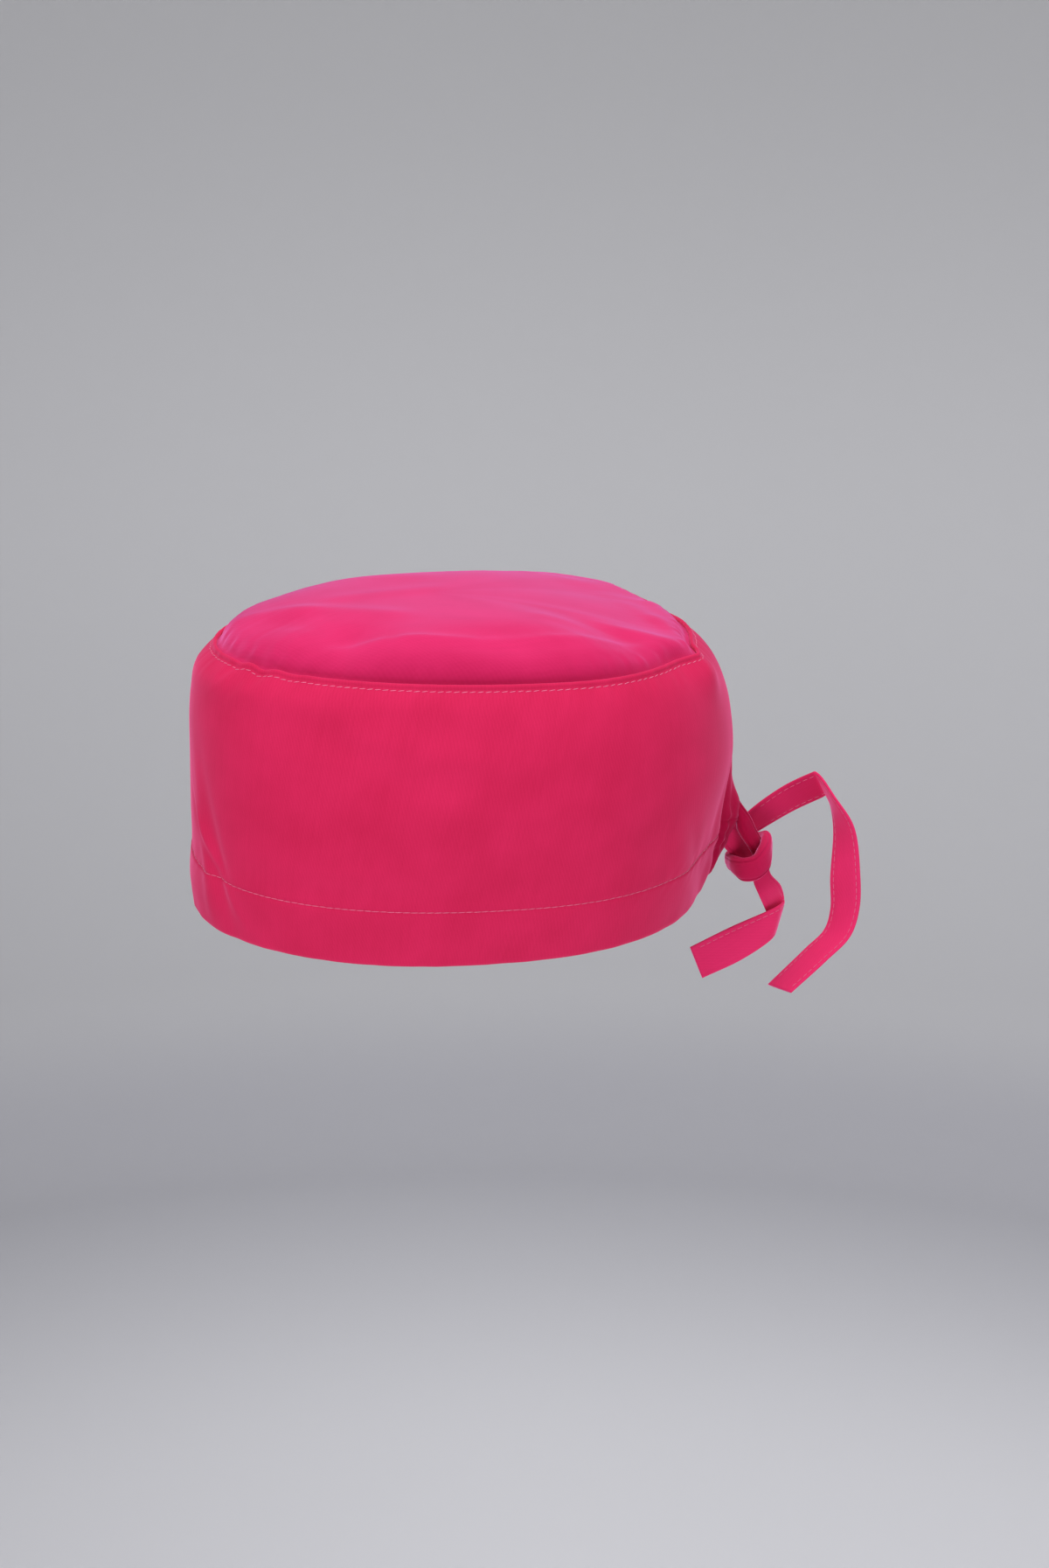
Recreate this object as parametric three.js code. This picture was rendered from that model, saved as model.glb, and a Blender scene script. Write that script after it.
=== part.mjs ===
// Scrub cap of pink polyester-cotton twill, tied at the back of the head.
//
// Millimetres, +Z up. The origin is the middle of the head opening, level with the hem edge.
// The forehead is towards -Y, the knot towards +Y and the wearer's left side towards +X.
// The cap is shown as a head holds it: puffed out, with both tie ends hanging free.

import * as THREE from 'three';
import { mergeVertices } from 'three/addons/utils/BufferGeometryUtils.js';

// Cloth and seams
const WALL = 1.6;
const SEAM_HEIGHT = 109.5;
const SEAM_STITCH_DROP = 1.5;
const HEM_DEPTH = 24;
const HEM_EXTRA = 0.3;
const HEM_GROOVE = 0.2;
const HEM_STITCH_HALF = 1;
const HEM_EDGE_INSET = 0.6;
const CLEARANCE = 0.35;
const PANEL_WALL = 1.4;

// Dome of the top panel above the seam
const DOME_RISE = 18;
const DOME_POWER_BACK = 2.2;
const DOME_POWER_FRONT = 5;
const PANEL_CENTRE_Y = -10;
const PANEL_INSIDE_SHARE = 0.985;
const RIPPLE_SHARE = 0.86;
const RIPPLE_REACH = 0.16;

// Mesh density
const COLUMNS = 72;
const TIE_STEPS_PER_ROW = 3;
const TIE_SIDES = 10;
const MERGE_DISTANCE = 1e-3;

// Section of a tie: powers below 1 square off the round, first across the tie and then its face
const TIE_ACROSS_POWER = 0.45;
const TIE_FACE_POWER = 0.6;

// The band's plan at nine levels. wide is half the width, reached at mid_y; front_y and back_y are
// the ends of the two half ovals, whose bows are 2 for an ellipse and more for a squarer one.
// drawn is how far the knot pulls the middle of the back outwards.
const LEVELS = [
  { z: 0, wide: 83, mid_y: 0, front_y: -110, back_y: 94, front_bow: 2, back_bow: 2.4, drawn: 13 },
  { z: 12, wide: 85.5, mid_y: 4, front_y: -111, back_y: 96, front_bow: 2.05, back_bow: 2.4, drawn: 15.5 },
  { z: 24, wide: 87, mid_y: 8, front_y: -110, back_y: 98, front_bow: 2.15, back_bow: 2.4, drawn: 16 },
  { z: 42, wide: 89, mid_y: 12, front_y: -109.4, back_y: 103.5, front_bow: 2.15, back_bow: 2.3, drawn: 10 },
  { z: 62, wide: 89.5, mid_y: 17, front_y: -109, back_y: 109, front_bow: 2.1, back_bow: 2.25, drawn: 4 },
  { z: 80, wide: 87, mid_y: 22, front_y: -108.4, back_y: 109.3, front_bow: 2.05, back_bow: 2.2, drawn: 0.5 },
  { z: 93, wide: 83.5, mid_y: 26, front_y: -107, back_y: 106, front_bow: 2, back_bow: 2.2, drawn: 0 },
  { z: 102, wide: 80, mid_y: 28, front_y: -104.8, back_y: 101, front_bow: 2, back_bow: 2.2, drawn: 0 },
  { z: 109.5, wide: 75, mid_y: 30, front_y: -97.5, back_y: 93, front_bow: 2, back_bow: 2.2, drawn: 0 },
];
const DRAWN_REACH = 13;
const DRAWN_POWER = 1.6;

// Folds and dents of the band. at and lean are degrees round from the middle of the back, at the
// fold's middle height and its change up to the top end; rise is outwards, negative inwards.
const BAND_FOLDS = [
  { name: 'back_corner', at: 33, lean: 0, z: 108, tall: 12, wide: 7, rise: 5 },
  { name: 'back_corner_far', at: 326, lean: 0, z: 106, tall: 12, wide: 8, rise: -2 },
  { name: 'knot_ridge', at: 14.5, lean: 2, z: 38, tall: 24, wide: 3.4, rise: 2.2 },
  { name: 'knot_valley', at: 8, lean: 1, z: 36, tall: 22, wide: 3, rise: -2.4 },
  { name: 'knot_ridge_far', at: 345, lean: -2, z: 36, tall: 24, wide: 3.6, rise: 2 },
  { name: 'knot_valley_far', at: 352, lean: -1, z: 36, tall: 22, wide: 3, rise: -2.2 },
  { name: 'hem_gather', at: 26, lean: 6, z: 22, tall: 18, wide: 5, rise: -1 },
  { name: 'hem_gather_far', at: 333, lean: -5, z: 22, tall: 22, wide: 5, rise: -1.8 },
  { name: 'brow_pull', at: 158, lean: 6, z: 32, tall: 26, wide: 3, rise: -1.4 },
  { name: 'brow_pull_ridge', at: 164, lean: 5, z: 30, tall: 26, wide: 3, rise: 1.2 },
  { name: 'brow_pull_far', at: 203, lean: -5, z: 36, tall: 26, wide: 4, rise: -1.2 },
  { name: 'hem_waist', at: 120, lean: 0, z: 30, tall: 7, wide: 46, rise: -0.7 },
  { name: 'hem_waist_far', at: 240, lean: 0, z: 30, tall: 7, wide: 46, rise: -0.7 },
];

// Ripples of the top panel along its seam: at and wide in degrees, rise in millimetres upwards.
const PANEL_RIPPLES = [
  { name: 'corner_crease', at: 40, wide: 6, rise: 2.2 },
  { name: 'corner_hollow', at: 52, wide: 7, rise: -1.4 },
  { name: 'side_swell', at: 74, wide: 9, rise: 1.2 },
  { name: 'side_dip', at: 97, wide: 8, rise: -1 },
  { name: 'temple_swell', at: 118, wide: 8, rise: 1.4 },
  { name: 'temple_dip', at: 136, wide: 6, rise: -1.6 },
  { name: 'brow_swell', at: 150, wide: 7, rise: 1.3 },
  { name: 'far_brow_dip', at: 214, wide: 8, rise: -1.3 },
  { name: 'far_swell', at: 236, wide: 9, rise: 1.3 },
  { name: 'far_dip', at: 262, wide: 9, rise: -1.2 },
  { name: 'far_back_swell', at: 290, wide: 9, rise: 1.2 },
  { name: 'far_corner_crease', at: 322, wide: 6, rise: 2 },
];

// Half the gap of the open slit at the middle of the back, closed by a seam above its last row.
const SLIT = [
  { z: 0, half_gap: 1.9 },
  { z: 36, half_gap: 1.9 },
  { z: 48, half_gap: 3.5 },
  { z: 62, half_gap: 3 },
  { z: 72, half_gap: 0 },
];
const SLIT_SPREAD = 30;

// The ties, from the hem end through the knot to the free end. a and b are the two long edges.
const TIE_NEAR = [
  { place: 'hem end', ax: 0, ay: 109, az: 18, bx: 0, by: 107.5, bz: 9, thick: 2.2 },
  { place: 'slit', ax: -0.4, ay: 117, az: 20, bx: -0.4, by: 110.5, bz: 10.5, thick: 2.2 },
  { place: 'second strap', ax: -3.5, ay: 121.5, az: 13, bx: -0.5, by: 115.5, bz: 5.5, thick: 3 },
  { place: 'second low', ax: -3.5, ay: 126, az: 6, bx: -2.5, by: 120.5, bz: -0.5, thick: 3 },
  { place: 'turn', ax: -5.8, ay: 128.5, az: 2.8, bx: -5.2, by: 124.5, bz: -3.8, thick: 2.8 },
  { place: 'back low', ax: -9.5, ay: 126, az: 1.6, bx: -8.5, by: 125, bz: -5.4, thick: 2.8 },
  { place: 'behind', ax: -10, ay: 120.2, az: 2.8, bx: -10, by: 120.8, bz: -4.8, thick: 2.8 },
  { place: 'behind left', ax: -8, ay: 117, az: 4.3, bx: -8, by: 118, bz: -3.3, thick: 2.8 },
  { place: 'wrap start', ax: -3.5, ay: 115, az: 4.8, bx: -3.5, by: 116.8, bz: -2.4, thick: 2.8 },
  { place: 'wrap left', ax: 1.5, ay: 115, az: 6, bx: 1.5, by: 117, bz: -1.5, thick: 3 },
  { place: 'wrap below', ax: 5.5, ay: 115.5, az: 7, bx: 6, by: 118, bz: -2, thick: 3.4 },
  { place: 'wrap front', ax: 9, ay: 118.5, az: 7.5, bx: 10.5, by: 119.5, bz: -2.5, thick: 4 },
  { place: 'wrap low', ax: 10.5, ay: 122.5, az: 9, bx: 12, by: 124, bz: -1.5, thick: 4.2 },
  { place: 'wrap right', ax: 10, ay: 125, az: 12, bx: 11, by: 128.5, bz: 2, thick: 4 },
  { place: 'wrap side', ax: 7.5, ay: 127.5, az: 14, bx: 7.5, by: 130, bz: 8, thick: 3.4 },
  { place: 'wrap top', ax: 3, ay: 128.5, az: 15, bx: 1.5, by: 131.5, bz: 12.5, thick: 3 },
  { place: 'tuck', ax: -3.5, ay: 127.5, az: 12, bx: -5.5, by: 130.5, bz: 10.5, thick: 2.8 },
  { place: 'behind top', ax: -8, ay: 124.5, az: 11, bx: -10.5, by: 128, bz: 8, thick: 2.6 },
  { place: 'leaving', ax: -11.5, ay: 121, az: 12.5, bx: -12, by: 127, bz: 8.5, thick: 2.4 },
  { place: 'exit', ax: -10, ay: 123, az: 18.5, bx: -12, by: 130, bz: 10.5, thick: 2 },
  { place: 'rise', ax: -7, ay: 138.5, az: 32, bx: -11, by: 145.5, bz: 19.5, thick: 1.5 },
  { place: 'before crease', ax: -6.5, ay: 151.5, az: 38, bx: -10.5, by: 158, bz: 25, thick: 1.5 },
  { place: 'crease', ax: -6, ay: 152.5, az: 38.5, bx: -10, by: 159.5, bz: 26, thick: 1.5 },
  { place: 'after crease', ax: -4, ay: 154.5, az: 37, bx: -9, by: 160, bz: 25, thick: 1.5 },
  { place: 'waist', ax: 2, ay: 159, az: 30, bx: -9, by: 161.5, bz: 21, thick: 1.5 },
  { place: 'shoulder', ax: 7.5, ay: 166.5, az: 18, bx: -4.5, by: 161.5, bz: 11.5, thick: 1.5 },
  { place: 'fall', ax: 9, ay: 170, az: -3.5, bx: 0, by: 159.5, bz: -7.5, thick: 1.5 },
  { place: 'low fall', ax: 10, ay: 170, az: -19.5, bx: 0.5, by: 160, bz: -22.5, thick: 1.5 },
  { place: 'bend', ax: 12, ay: 166, az: -30.5, bx: 1, by: 157.5, bz: -31.5, thick: 1.5 },
  { place: 'run', ax: 14.5, ay: 155, az: -40, bx: 2.5, by: 149, bz: -39, thick: 1.5 },
  { place: 'free end', ax: 18, ay: 139, az: -52, bx: 6, by: 132, bz: -53, thick: 1.5 },
];
const TIE_FAR = [
  { place: 'hem end', ax: 0, ay: 109, az: 33, bx: 0, by: 109, bz: 26, thick: 2.2 },
  { place: 'slit', ax: 0.2, ay: 115.5, az: 33.5, bx: 0.2, by: 113, bz: 28, thick: 2.2 },
  { place: 'strap top', ax: 1.4, ay: 119.5, az: 28.5, bx: 2, by: 116.5, bz: 22.3, thick: 2.8 },
  { place: 'strap', ax: 2, ay: 122.5, az: 24, bx: 3.5, by: 117, bz: 18.5, thick: 3.6 },
  { place: 'strap low', ax: 2.5, ay: 125, az: 18.5, bx: 4, by: 119, bz: 14.5, thick: 3.4 },
  { place: 'strap end', ax: 2.5, ay: 127.5, az: 13.5, bx: 4, by: 122, bz: 10, thick: 3.2 },
  { place: 'under wrap', ax: 3, ay: 129, az: 9, bx: 3.5, by: 124, bz: 6, thick: 2.8 },
  { place: 'middle', ax: 3, ay: 131, az: 3.5, bx: 3, by: 125, bz: 1.5, thick: 2.6 },
  { place: 'exit', ax: 2, ay: 132.5, az: -3, bx: 2.5, by: 125, bz: -6, thick: 2.2 },
  { place: 'below knot', ax: -1, ay: 138, az: -10, bx: 3, by: 127.5, bz: -12.5, thick: 1.6 },
  { place: 'before fold', ax: -3, ay: 140, az: -15, bx: 0.5, by: 131.5, bz: -21, thick: 1.5 },
  { place: 'fold', ax: -1.5, ay: 140, az: -17.5, bx: 0.5, by: 135.5, bz: -31, thick: 1.5 },
  { place: 'after fold', ax: 2.5, ay: 136.5, az: -18, bx: 5, by: 133, bz: -32.5, thick: 1.5 },
  { place: 'run', ax: 6, ay: 114.5, az: -25, bx: 9, by: 119.5, bz: -39, thick: 1.5 },
  { place: 'free end', ax: 9, ay: 96.5, az: -31.5, bx: 12, by: 101.5, bz: -45, thick: 1.5 },
];

const FULL_TURN = 360;
const NORMAL_STEP = 0.5;
const TANGENT_STEP = 0.002;
const radians = (degrees) => degrees * Math.PI / 180;
const signedPower = (value, power) => Math.sign(value) * Math.abs(value) ** power;

// Smooth value of a named column between the rows of a table
function column(rows, key, where, at) {
  const last = rows.length - 1;
  let row = 0;
  while (row < last - 1 && at > rows[row + 1][where]) row += 1;
  const from = rows[row];
  const to = rows[row + 1];
  const part = THREE.MathUtils.clamp((at - from[where]) / (to[where] - from[where]), 0, 1);
  const before = rows[Math.max(row - 1, 0)];
  const after = rows[Math.min(row + 2, last)];
  const span = to[where] - from[where];
  const slopeIn = (to[key] - before[key]) / (to[where] - before[where]) * span;
  const slopeOut = (after[key] - from[key]) / (after[where] - from[where]) * span;
  const square = part * part;
  const cube = square * part;
  return from[key] * (2 * cube - 3 * square + 1) + slopeIn * (cube - 2 * square + part)
    + to[key] * (3 * square - 2 * cube) + slopeOut * (cube - square);
}

// Straight-line value of a named column
function straight(rows, key, where, at) {
  const last = rows.length - 1;
  let row = 0;
  while (row < last - 1 && at > rows[row + 1][where]) row += 1;
  const from = rows[row];
  const to = rows[row + 1];
  const part = THREE.MathUtils.clamp((at - from[where]) / (to[where] - from[where]), 0, 1);
  return THREE.MathUtils.lerp(from[key], to[key], part);
}

// A bump that is 1 in the middle and fades smoothly to almost nothing at twice the reach
function bump(distance, reach) {
  return Math.exp(-((distance / reach) ** 2));
}

function turnBetween(angle, middle) {
  const turn = ((angle - middle) % FULL_TURN + FULL_TURN) % FULL_TURN;
  return turn > FULL_TURN / 2 ? turn - FULL_TURN : turn;
}

// Plan of the band at one level, before its folds
function planPoint(angle, z) {
  const level = (key) => column(LEVELS, key, 'z', z);
  const side = Math.sin(radians(angle));
  const back = Math.cos(radians(angle));
  const isBack = back >= 0;
  const power = 2 / (isBack ? level('back_bow') : level('front_bow'));
  const reach = isBack ? level('back_y') - level('mid_y') : level('mid_y') - level('front_y');
  const x = level('wide') * signedPower(side, power);
  const drawn = isBack ? level('drawn') / (1 + (Math.abs(x) / DRAWN_REACH) ** DRAWN_POWER) : 0;
  const y = level('mid_y') + reach * signedPower(back, power) + drawn;
  return new THREE.Vector3(x, y, z);
}

function foldRise(angle, z) {
  return BAND_FOLDS.reduce((total, fold) => {
    const middle = fold.at + fold.lean * (z - fold.z) / fold.tall;
    return total + fold.rise * bump(turnBetween(angle, middle), fold.wide) * bump(z - fold.z, fold.tall);
  }, 0);
}

// Outward direction, square to the wall, from the plan's neighbours
function planNormal(angle, z) {
  const along = planPoint(angle + NORMAL_STEP, z).sub(planPoint(angle - NORMAL_STEP, z));
  const above = planPoint(angle, Math.min(z + NORMAL_STEP, SEAM_HEIGHT));
  const up = above.sub(planPoint(angle, z - NORMAL_STEP));
  return up.cross(along).normalize();
}

// A point of the band's outer face, moved inwards by depth
function wallPoint(angle, z, depth = 0) {
  const normal = planNormal(angle, z);
  const level = new THREE.Vector3(normal.x, normal.y, 0).normalize();
  return planPoint(angle, z).addScaledVector(level, foldRise(angle, z)).addScaledVector(normal, -depth);
}

// Opens the slit at the middle of the back by moving both ends of the wall apart
function openSlit(point, z, sideSign) {
  const gap = straight(SLIT, 'half_gap', 'z', z);
  const fade = Math.max(0, 1 - Math.abs(point.x) / SLIT_SPREAD);
  point.x += sideSign * gap * fade * fade;
  return point;
}

// Joins rings of equal length into one closed skin
class Skin {
  constructor() {
    this.corners = [];
  }

  triangle(a, b, c) {
    this.corners.push(...a.toArray(), ...b.toArray(), ...c.toArray());
  }

  quad(a, b, c, d) {
    this.triangle(a, b, c);
    this.triangle(a, c, d);
  }

  bridge(ring, next) {
    for (let i = 0; i < ring.length; i += 1) {
      const j = (i + 1) % ring.length;
      this.quad(ring[i], ring[j], next[j], next[i]);
    }
  }

  fan(centre, ring) {
    for (let i = 0; i < ring.length; i += 1) this.triangle(centre, ring[i], ring[(i + 1) % ring.length]);
  }

  geometry() {
    const loose = new THREE.BufferGeometry();
    loose.setAttribute('position', new THREE.Float32BufferAttribute(this.corners, 3));
    const merged = mergeVertices(loose, MERGE_DISTANCE);
    merged.computeVertexNormals();
    return merged;
  }
}

// Section of the band: heights of the wall, then the rolled lip as out and up from the seam line
const WALL_HEIGHTS = [2, 12, 21.5, 24, 27, 36, 48, 60, 72, 84, 93, 100, 104.5];
const LIP_INSIDE_UP = 0.6;
const LIP = [
  { out: -0.1, up: -SEAM_STITCH_DROP },
  { out: 0.6, up: -0.4 },
  { out: 0.7, up: 1 },
  { out: 0, up: 2 },
  { out: -1, up: 1.9 },
  { out: -WALL, up: LIP_INSIDE_UP },
];

// The turned hem stands proud of the wall, with a groove along its stitching
function hemBulge(z) {
  if (z < HEM_DEPTH - HEM_STITCH_HALF) return HEM_EXTRA;
  return z < HEM_DEPTH + HEM_STITCH_HALF ? -HEM_GROOVE : 0;
}

function lipPoint(angle, row) {
  const normal = planNormal(angle, SEAM_HEIGHT - NORMAL_STEP);
  const base = wallPoint(angle, SEAM_HEIGHT);
  const up = base.clone().sub(wallPoint(angle, SEAM_HEIGHT - 2 * NORMAL_STEP)).normalize();
  return base.addScaledVector(normal, row.out).addScaledVector(up, row.up);
}

// Open end rows of a section sit below the slit's top and get a closing wall
function bandSection(angle, sideSign) {
  const outer = WALL_HEIGHTS.map((z) => openSlit(wallPoint(angle, z, -hemBulge(z)), z, sideSign));
  const inner = WALL_HEIGHTS.map((z) => openSlit(wallPoint(angle, z, WALL), z, sideSign));
  const hemEdge = openSlit(wallPoint(angle, 0, HEM_EDGE_INSET), 0, sideSign);
  const lip = LIP.map((row) => lipPoint(angle, row));
  return { outer, inner, hemEdge, loop: [hemEdge, ...outer, ...lip, ...inner.reverse()] };
}

function closeSlit(skin, section, outwards) {
  const inner = [...section.inner].reverse();
  const { outer, hemEdge } = section;
  const rows = WALL_HEIGHTS.filter((z) => z <= SLIT[SLIT.length - 1].z).length;
  const face = (a, b, c) => (outwards ? skin.triangle(a, b, c) : skin.triangle(a, c, b));
  face(hemEdge, inner[0], outer[0]);
  for (let i = 0; i + 1 < rows; i += 1) {
    face(outer[i], inner[i], inner[i + 1]);
    face(outer[i], inner[i + 1], outer[i + 1]);
  }
}

function sideBand() {
  const skin = new Skin();
  const sections = [];
  for (let i = 0; i <= COLUMNS; i += 1) {
    sections.push(bandSection((i % COLUMNS) * FULL_TURN / COLUMNS, i < COLUMNS / 2 ? 1 : -1));
  }
  for (let i = 0; i < COLUMNS; i += 1) skin.bridge(sections[i].loop, sections[i + 1].loop);
  closeSlit(skin, sections[0], true);
  closeSlit(skin, sections[COLUMNS], false);
  return skin.geometry();
}

// Height of the top panel over the seam, at a share of the way out from its middle
function panelRise(angle, share) {
  const frontness = (1 - Math.cos(radians(angle))) / 2;
  const power = THREE.MathUtils.lerp(DOME_POWER_BACK, DOME_POWER_FRONT, frontness ** 2);
  const dome = DOME_RISE * (1 - share ** power);
  const ripple = PANEL_RIPPLES.reduce((total, row) => {
    return total + row.rise * bump(turnBetween(angle, row.at), row.wide);
  }, 0);
  return dome + ripple * bump(share - RIPPLE_SHARE, RIPPLE_REACH);
}

function panelPoint(angle, share, drop) {
  const edge = wallPoint(angle, SEAM_HEIGHT, WALL + CLEARANCE);
  const x = edge.x * share;
  const y = PANEL_CENTRE_Y + (edge.y - PANEL_CENTRE_Y) * share;
  return new THREE.Vector3(x, y, SEAM_HEIGHT + panelRise(angle, share) - drop);
}

const PANEL_SHARES = [0.2, 0.4, 0.58, 0.73, 0.85, 0.93, 0.98];
const FLANGE_HEIGHTS = [104.5, 102];

function ringOf(pointAt) {
  return Array.from({ length: COLUMNS }, (_, i) => pointAt(i * FULL_TURN / COLUMNS));
}

function topPanel() {
  const skin = new Skin();
  const layer = (scale, drop) => PANEL_SHARES.map((share) => ringOf((angle) => (
    panelPoint(angle, share * scale, drop)
  )));
  const outside = layer(1, 0);
  const inside = layer(PANEL_INSIDE_SHARE, PANEL_WALL);
  const depth = WALL + CLEARANCE;
  const flange = (inwards) => [
    ringOf((angle) => lipPoint(angle, { out: -inwards, up: LIP_INSIDE_UP })),
    ...FLANGE_HEIGHTS.map((z) => ringOf((angle) => wallPoint(angle, z, inwards))),
  ];
  const down = flange(depth);
  const backUp = flange(depth + PANEL_WALL).reverse();
  const rings = [...outside, ...down, ...backUp, ...inside.reverse()];
  skin.fan(panelPoint(0, 0, 0), [...rings[0]].reverse());
  for (let i = 0; i + 1 < rings.length; i += 1) skin.bridge(rings[i], rings[i + 1]);
  skin.fan(panelPoint(0, 0, PANEL_WALL), rings[rings.length - 1]);
  return skin.geometry();
}

// Flat rounded section across a tie, from edge a to edge b
function tieSection(a, b, along, thickness) {
  const middle = a.clone().add(b).multiplyScalar(0.5);
  const across = a.clone().sub(b).multiplyScalar(0.5);
  const face = new THREE.Vector3().crossVectors(along, across).normalize();
  return Array.from({ length: TIE_SIDES }, (_, i) => {
    const turn = 2 * Math.PI * (i + 0.5) / TIE_SIDES;
    const wide = signedPower(Math.cos(turn), TIE_ACROSS_POWER);
    const deep = signedPower(Math.sin(turn), TIE_FACE_POWER);
    return middle.clone().addScaledVector(across, wide).addScaledVector(face, deep * thickness / 2);
  });
}

function tie(rows) {
  const edge = (name) => new THREE.CatmullRomCurve3(
    rows.map((row) => new THREE.Vector3(row[`${name}x`], row[`${name}y`], row[`${name}z`])),
  );
  const edgeA = edge('a');
  const edgeB = edge('b');
  const steps = (rows.length - 1) * TIE_STEPS_PER_ROW;
  const middleAt = (t) => edgeA.getPoint(t).add(edgeB.getPoint(t)).multiplyScalar(0.5);
  const thicknessRows = rows.map((row, i) => ({ at: i, thick: row.thick }));
  const rings = [];
  for (let i = 0; i <= steps; i += 1) {
    const t = i / steps;
    const ahead = middleAt(Math.min(t + TANGENT_STEP, 1));
    const along = ahead.sub(middleAt(Math.max(t - TANGENT_STEP, 0))).normalize();
    const thickness = straight(thicknessRows, 'thick', 'at', t * (rows.length - 1));
    rings.push(tieSection(edgeA.getPoint(t), edgeB.getPoint(t), along, thickness));
  }
  const skin = new Skin();
  skin.fan(middleAt(0), [...rings[0]].reverse());
  for (let i = 0; i < steps; i += 1) skin.bridge(rings[i], rings[i + 1]);
  skin.fan(middleAt(1), rings[steps]);
  return skin.geometry();
}

function clothMaterial(name, colour) {
  return new THREE.MeshStandardMaterial({ name, color: colour, roughness: 0.85, metalness: 0 });
}

const bandCloth = clothMaterial('band_twill', 0xc62458);
const panelCloth = clothMaterial('panel_twill', 0xe0397c);

function piece(name, geometry, material) {
  const mesh = new THREE.Mesh(geometry, material);
  mesh.name = name;
  return mesh;
}

const cap = new THREE.Group();
cap.name = 'scrub_cap';
cap.add(
  piece('side_band', sideBand(), bandCloth),
  piece('top_panel', topPanel(), panelCloth),
  piece('tie_near', tie(TIE_NEAR), bandCloth),
  piece('tie_far', tie(TIE_FAR), bandCloth),
);

export default cap;
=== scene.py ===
# %% [markdown]
# # A scrub cap, built the way it is sewn
# A scrub cap is cut from light twill: a wide band round the head, a domed panel that closes the top,
# and two ties that draw the hem in at the back. This lesson builds each piece flat and straight
# first, as cloth is cut, and then bends it into place, so that seams, stitches and weave follow it.
# The measured model is loaded before anything else, because every piece has to lie where it lies.

# %% The measured model
import math

import bmesh
import bpy
import numpy as np
from mathutils import Matrix, Vector


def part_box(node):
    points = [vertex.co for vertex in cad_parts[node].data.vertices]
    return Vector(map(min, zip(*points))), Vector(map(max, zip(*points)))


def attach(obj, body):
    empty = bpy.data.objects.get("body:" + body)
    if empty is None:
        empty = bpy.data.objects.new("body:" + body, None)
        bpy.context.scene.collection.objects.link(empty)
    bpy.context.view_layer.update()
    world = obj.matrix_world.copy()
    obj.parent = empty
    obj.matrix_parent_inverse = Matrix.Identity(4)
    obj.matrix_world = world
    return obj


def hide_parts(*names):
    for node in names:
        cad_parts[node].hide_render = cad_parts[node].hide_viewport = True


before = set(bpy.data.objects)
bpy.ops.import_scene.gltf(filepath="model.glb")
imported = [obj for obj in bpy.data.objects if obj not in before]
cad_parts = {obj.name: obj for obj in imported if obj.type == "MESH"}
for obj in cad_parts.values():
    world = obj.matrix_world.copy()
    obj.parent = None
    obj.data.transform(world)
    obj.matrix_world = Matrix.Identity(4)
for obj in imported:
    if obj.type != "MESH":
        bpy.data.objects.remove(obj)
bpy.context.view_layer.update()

MM = 0.001
for node in sorted(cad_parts):
    low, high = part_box(node)
    print(node, "measures", [round((b - a) / MM, 1) for a, b in zip(low, high)], "mm")

# %% [markdown]
# ## Colours and nodes
# Colours are picked as sRGB hex values, but shader sockets hold linear light, so one function turns
# them over. A second small function adds a node, sets it up and links it in one call, and the ones
# after it name the few kinds of node that come up again and again.

# %% Helpers for materials


def linear(hex_colour):
    """An sRGB hex value as the linear colour that a shader socket holds."""
    parts = [int(hex_colour[i:i + 2], 16) / 255 for i in (1, 3, 5)]
    return [c / 12.92 if c <= 0.04045 else ((c + 0.055) / 1.055) ** 2.4 for c in parts] + [1]


def add_node(tree, kind, inputs=None, **settings):
    """Adds one node. inputs gives its sockets a value, or a link from another node's output."""
    made = tree.nodes.new(kind)
    for name, value in settings.items():
        setattr(made, name, value)
    for socket, value in (inputs or {}).items():
        if isinstance(value, bpy.types.NodeSocket):
            tree.links.new(value, made.inputs[socket])
        else:
            made.inputs[socket].default_value = value
    return made


def mix_colours(tree, share, first, second):
    """The first colour at share 0, and the second at share 1."""
    return add_node(tree, "ShaderNodeMix", {0: share, 6: first, 7: second}, data_type="RGBA").outputs[2]


def multiply_add(tree, value, factor, added):
    """The value times the factor, plus what is added."""
    return add_node(
        tree, "ShaderNodeMath", {0: value, 1: factor, 2: added}, operation="MULTIPLY_ADD",
    ).outputs[0]


def map_range(tree, value, source, target=(0, 1), **settings):
    """Moves a value from one range to another."""
    return add_node(
        tree, "ShaderNodeMapRange",
        {"Value": value, "From Min": source[0], "From Max": source[1],
         "To Min": target[0], "To Max": target[1]},
        **settings,
    ).outputs[0]


def noise(tree, vector, scale, detail):
    """Soft random clouds from 0 to 1."""
    return add_node(
        tree, "ShaderNodeTexNoise", {"Vector": vector, "Scale": scale, "Detail": detail},
    ).outputs["Fac"]


def new_material(name):
    """A material with an empty tree."""
    material = bpy.data.materials.new(name)
    material.use_nodes = True
    material.node_tree.nodes.clear()
    return material


def give_surface(material, sockets):
    """Ends a material's tree with one surface, set up by its sockets, and the output."""
    tree = material.node_tree
    surface = add_node(tree, "ShaderNodeBsdfPrincipled", sockets)
    add_node(tree, "ShaderNodeOutputMaterial", {"Surface": surface.outputs[0]})
    return material


def put_in_scene(name, data):
    """A new object in the scene that shows some data."""
    made = bpy.data.objects.new(name, data)
    bpy.context.scene.collection.objects.link(made)
    return made


# %% [markdown]
# ## The camera
# The camera stands a little over a metre off, just ahead of the wearer's left ear, and looks down on
# the cap by 20 degrees. Its lens follows from the scale: 0.36 mm of cap for each pixel.

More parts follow.
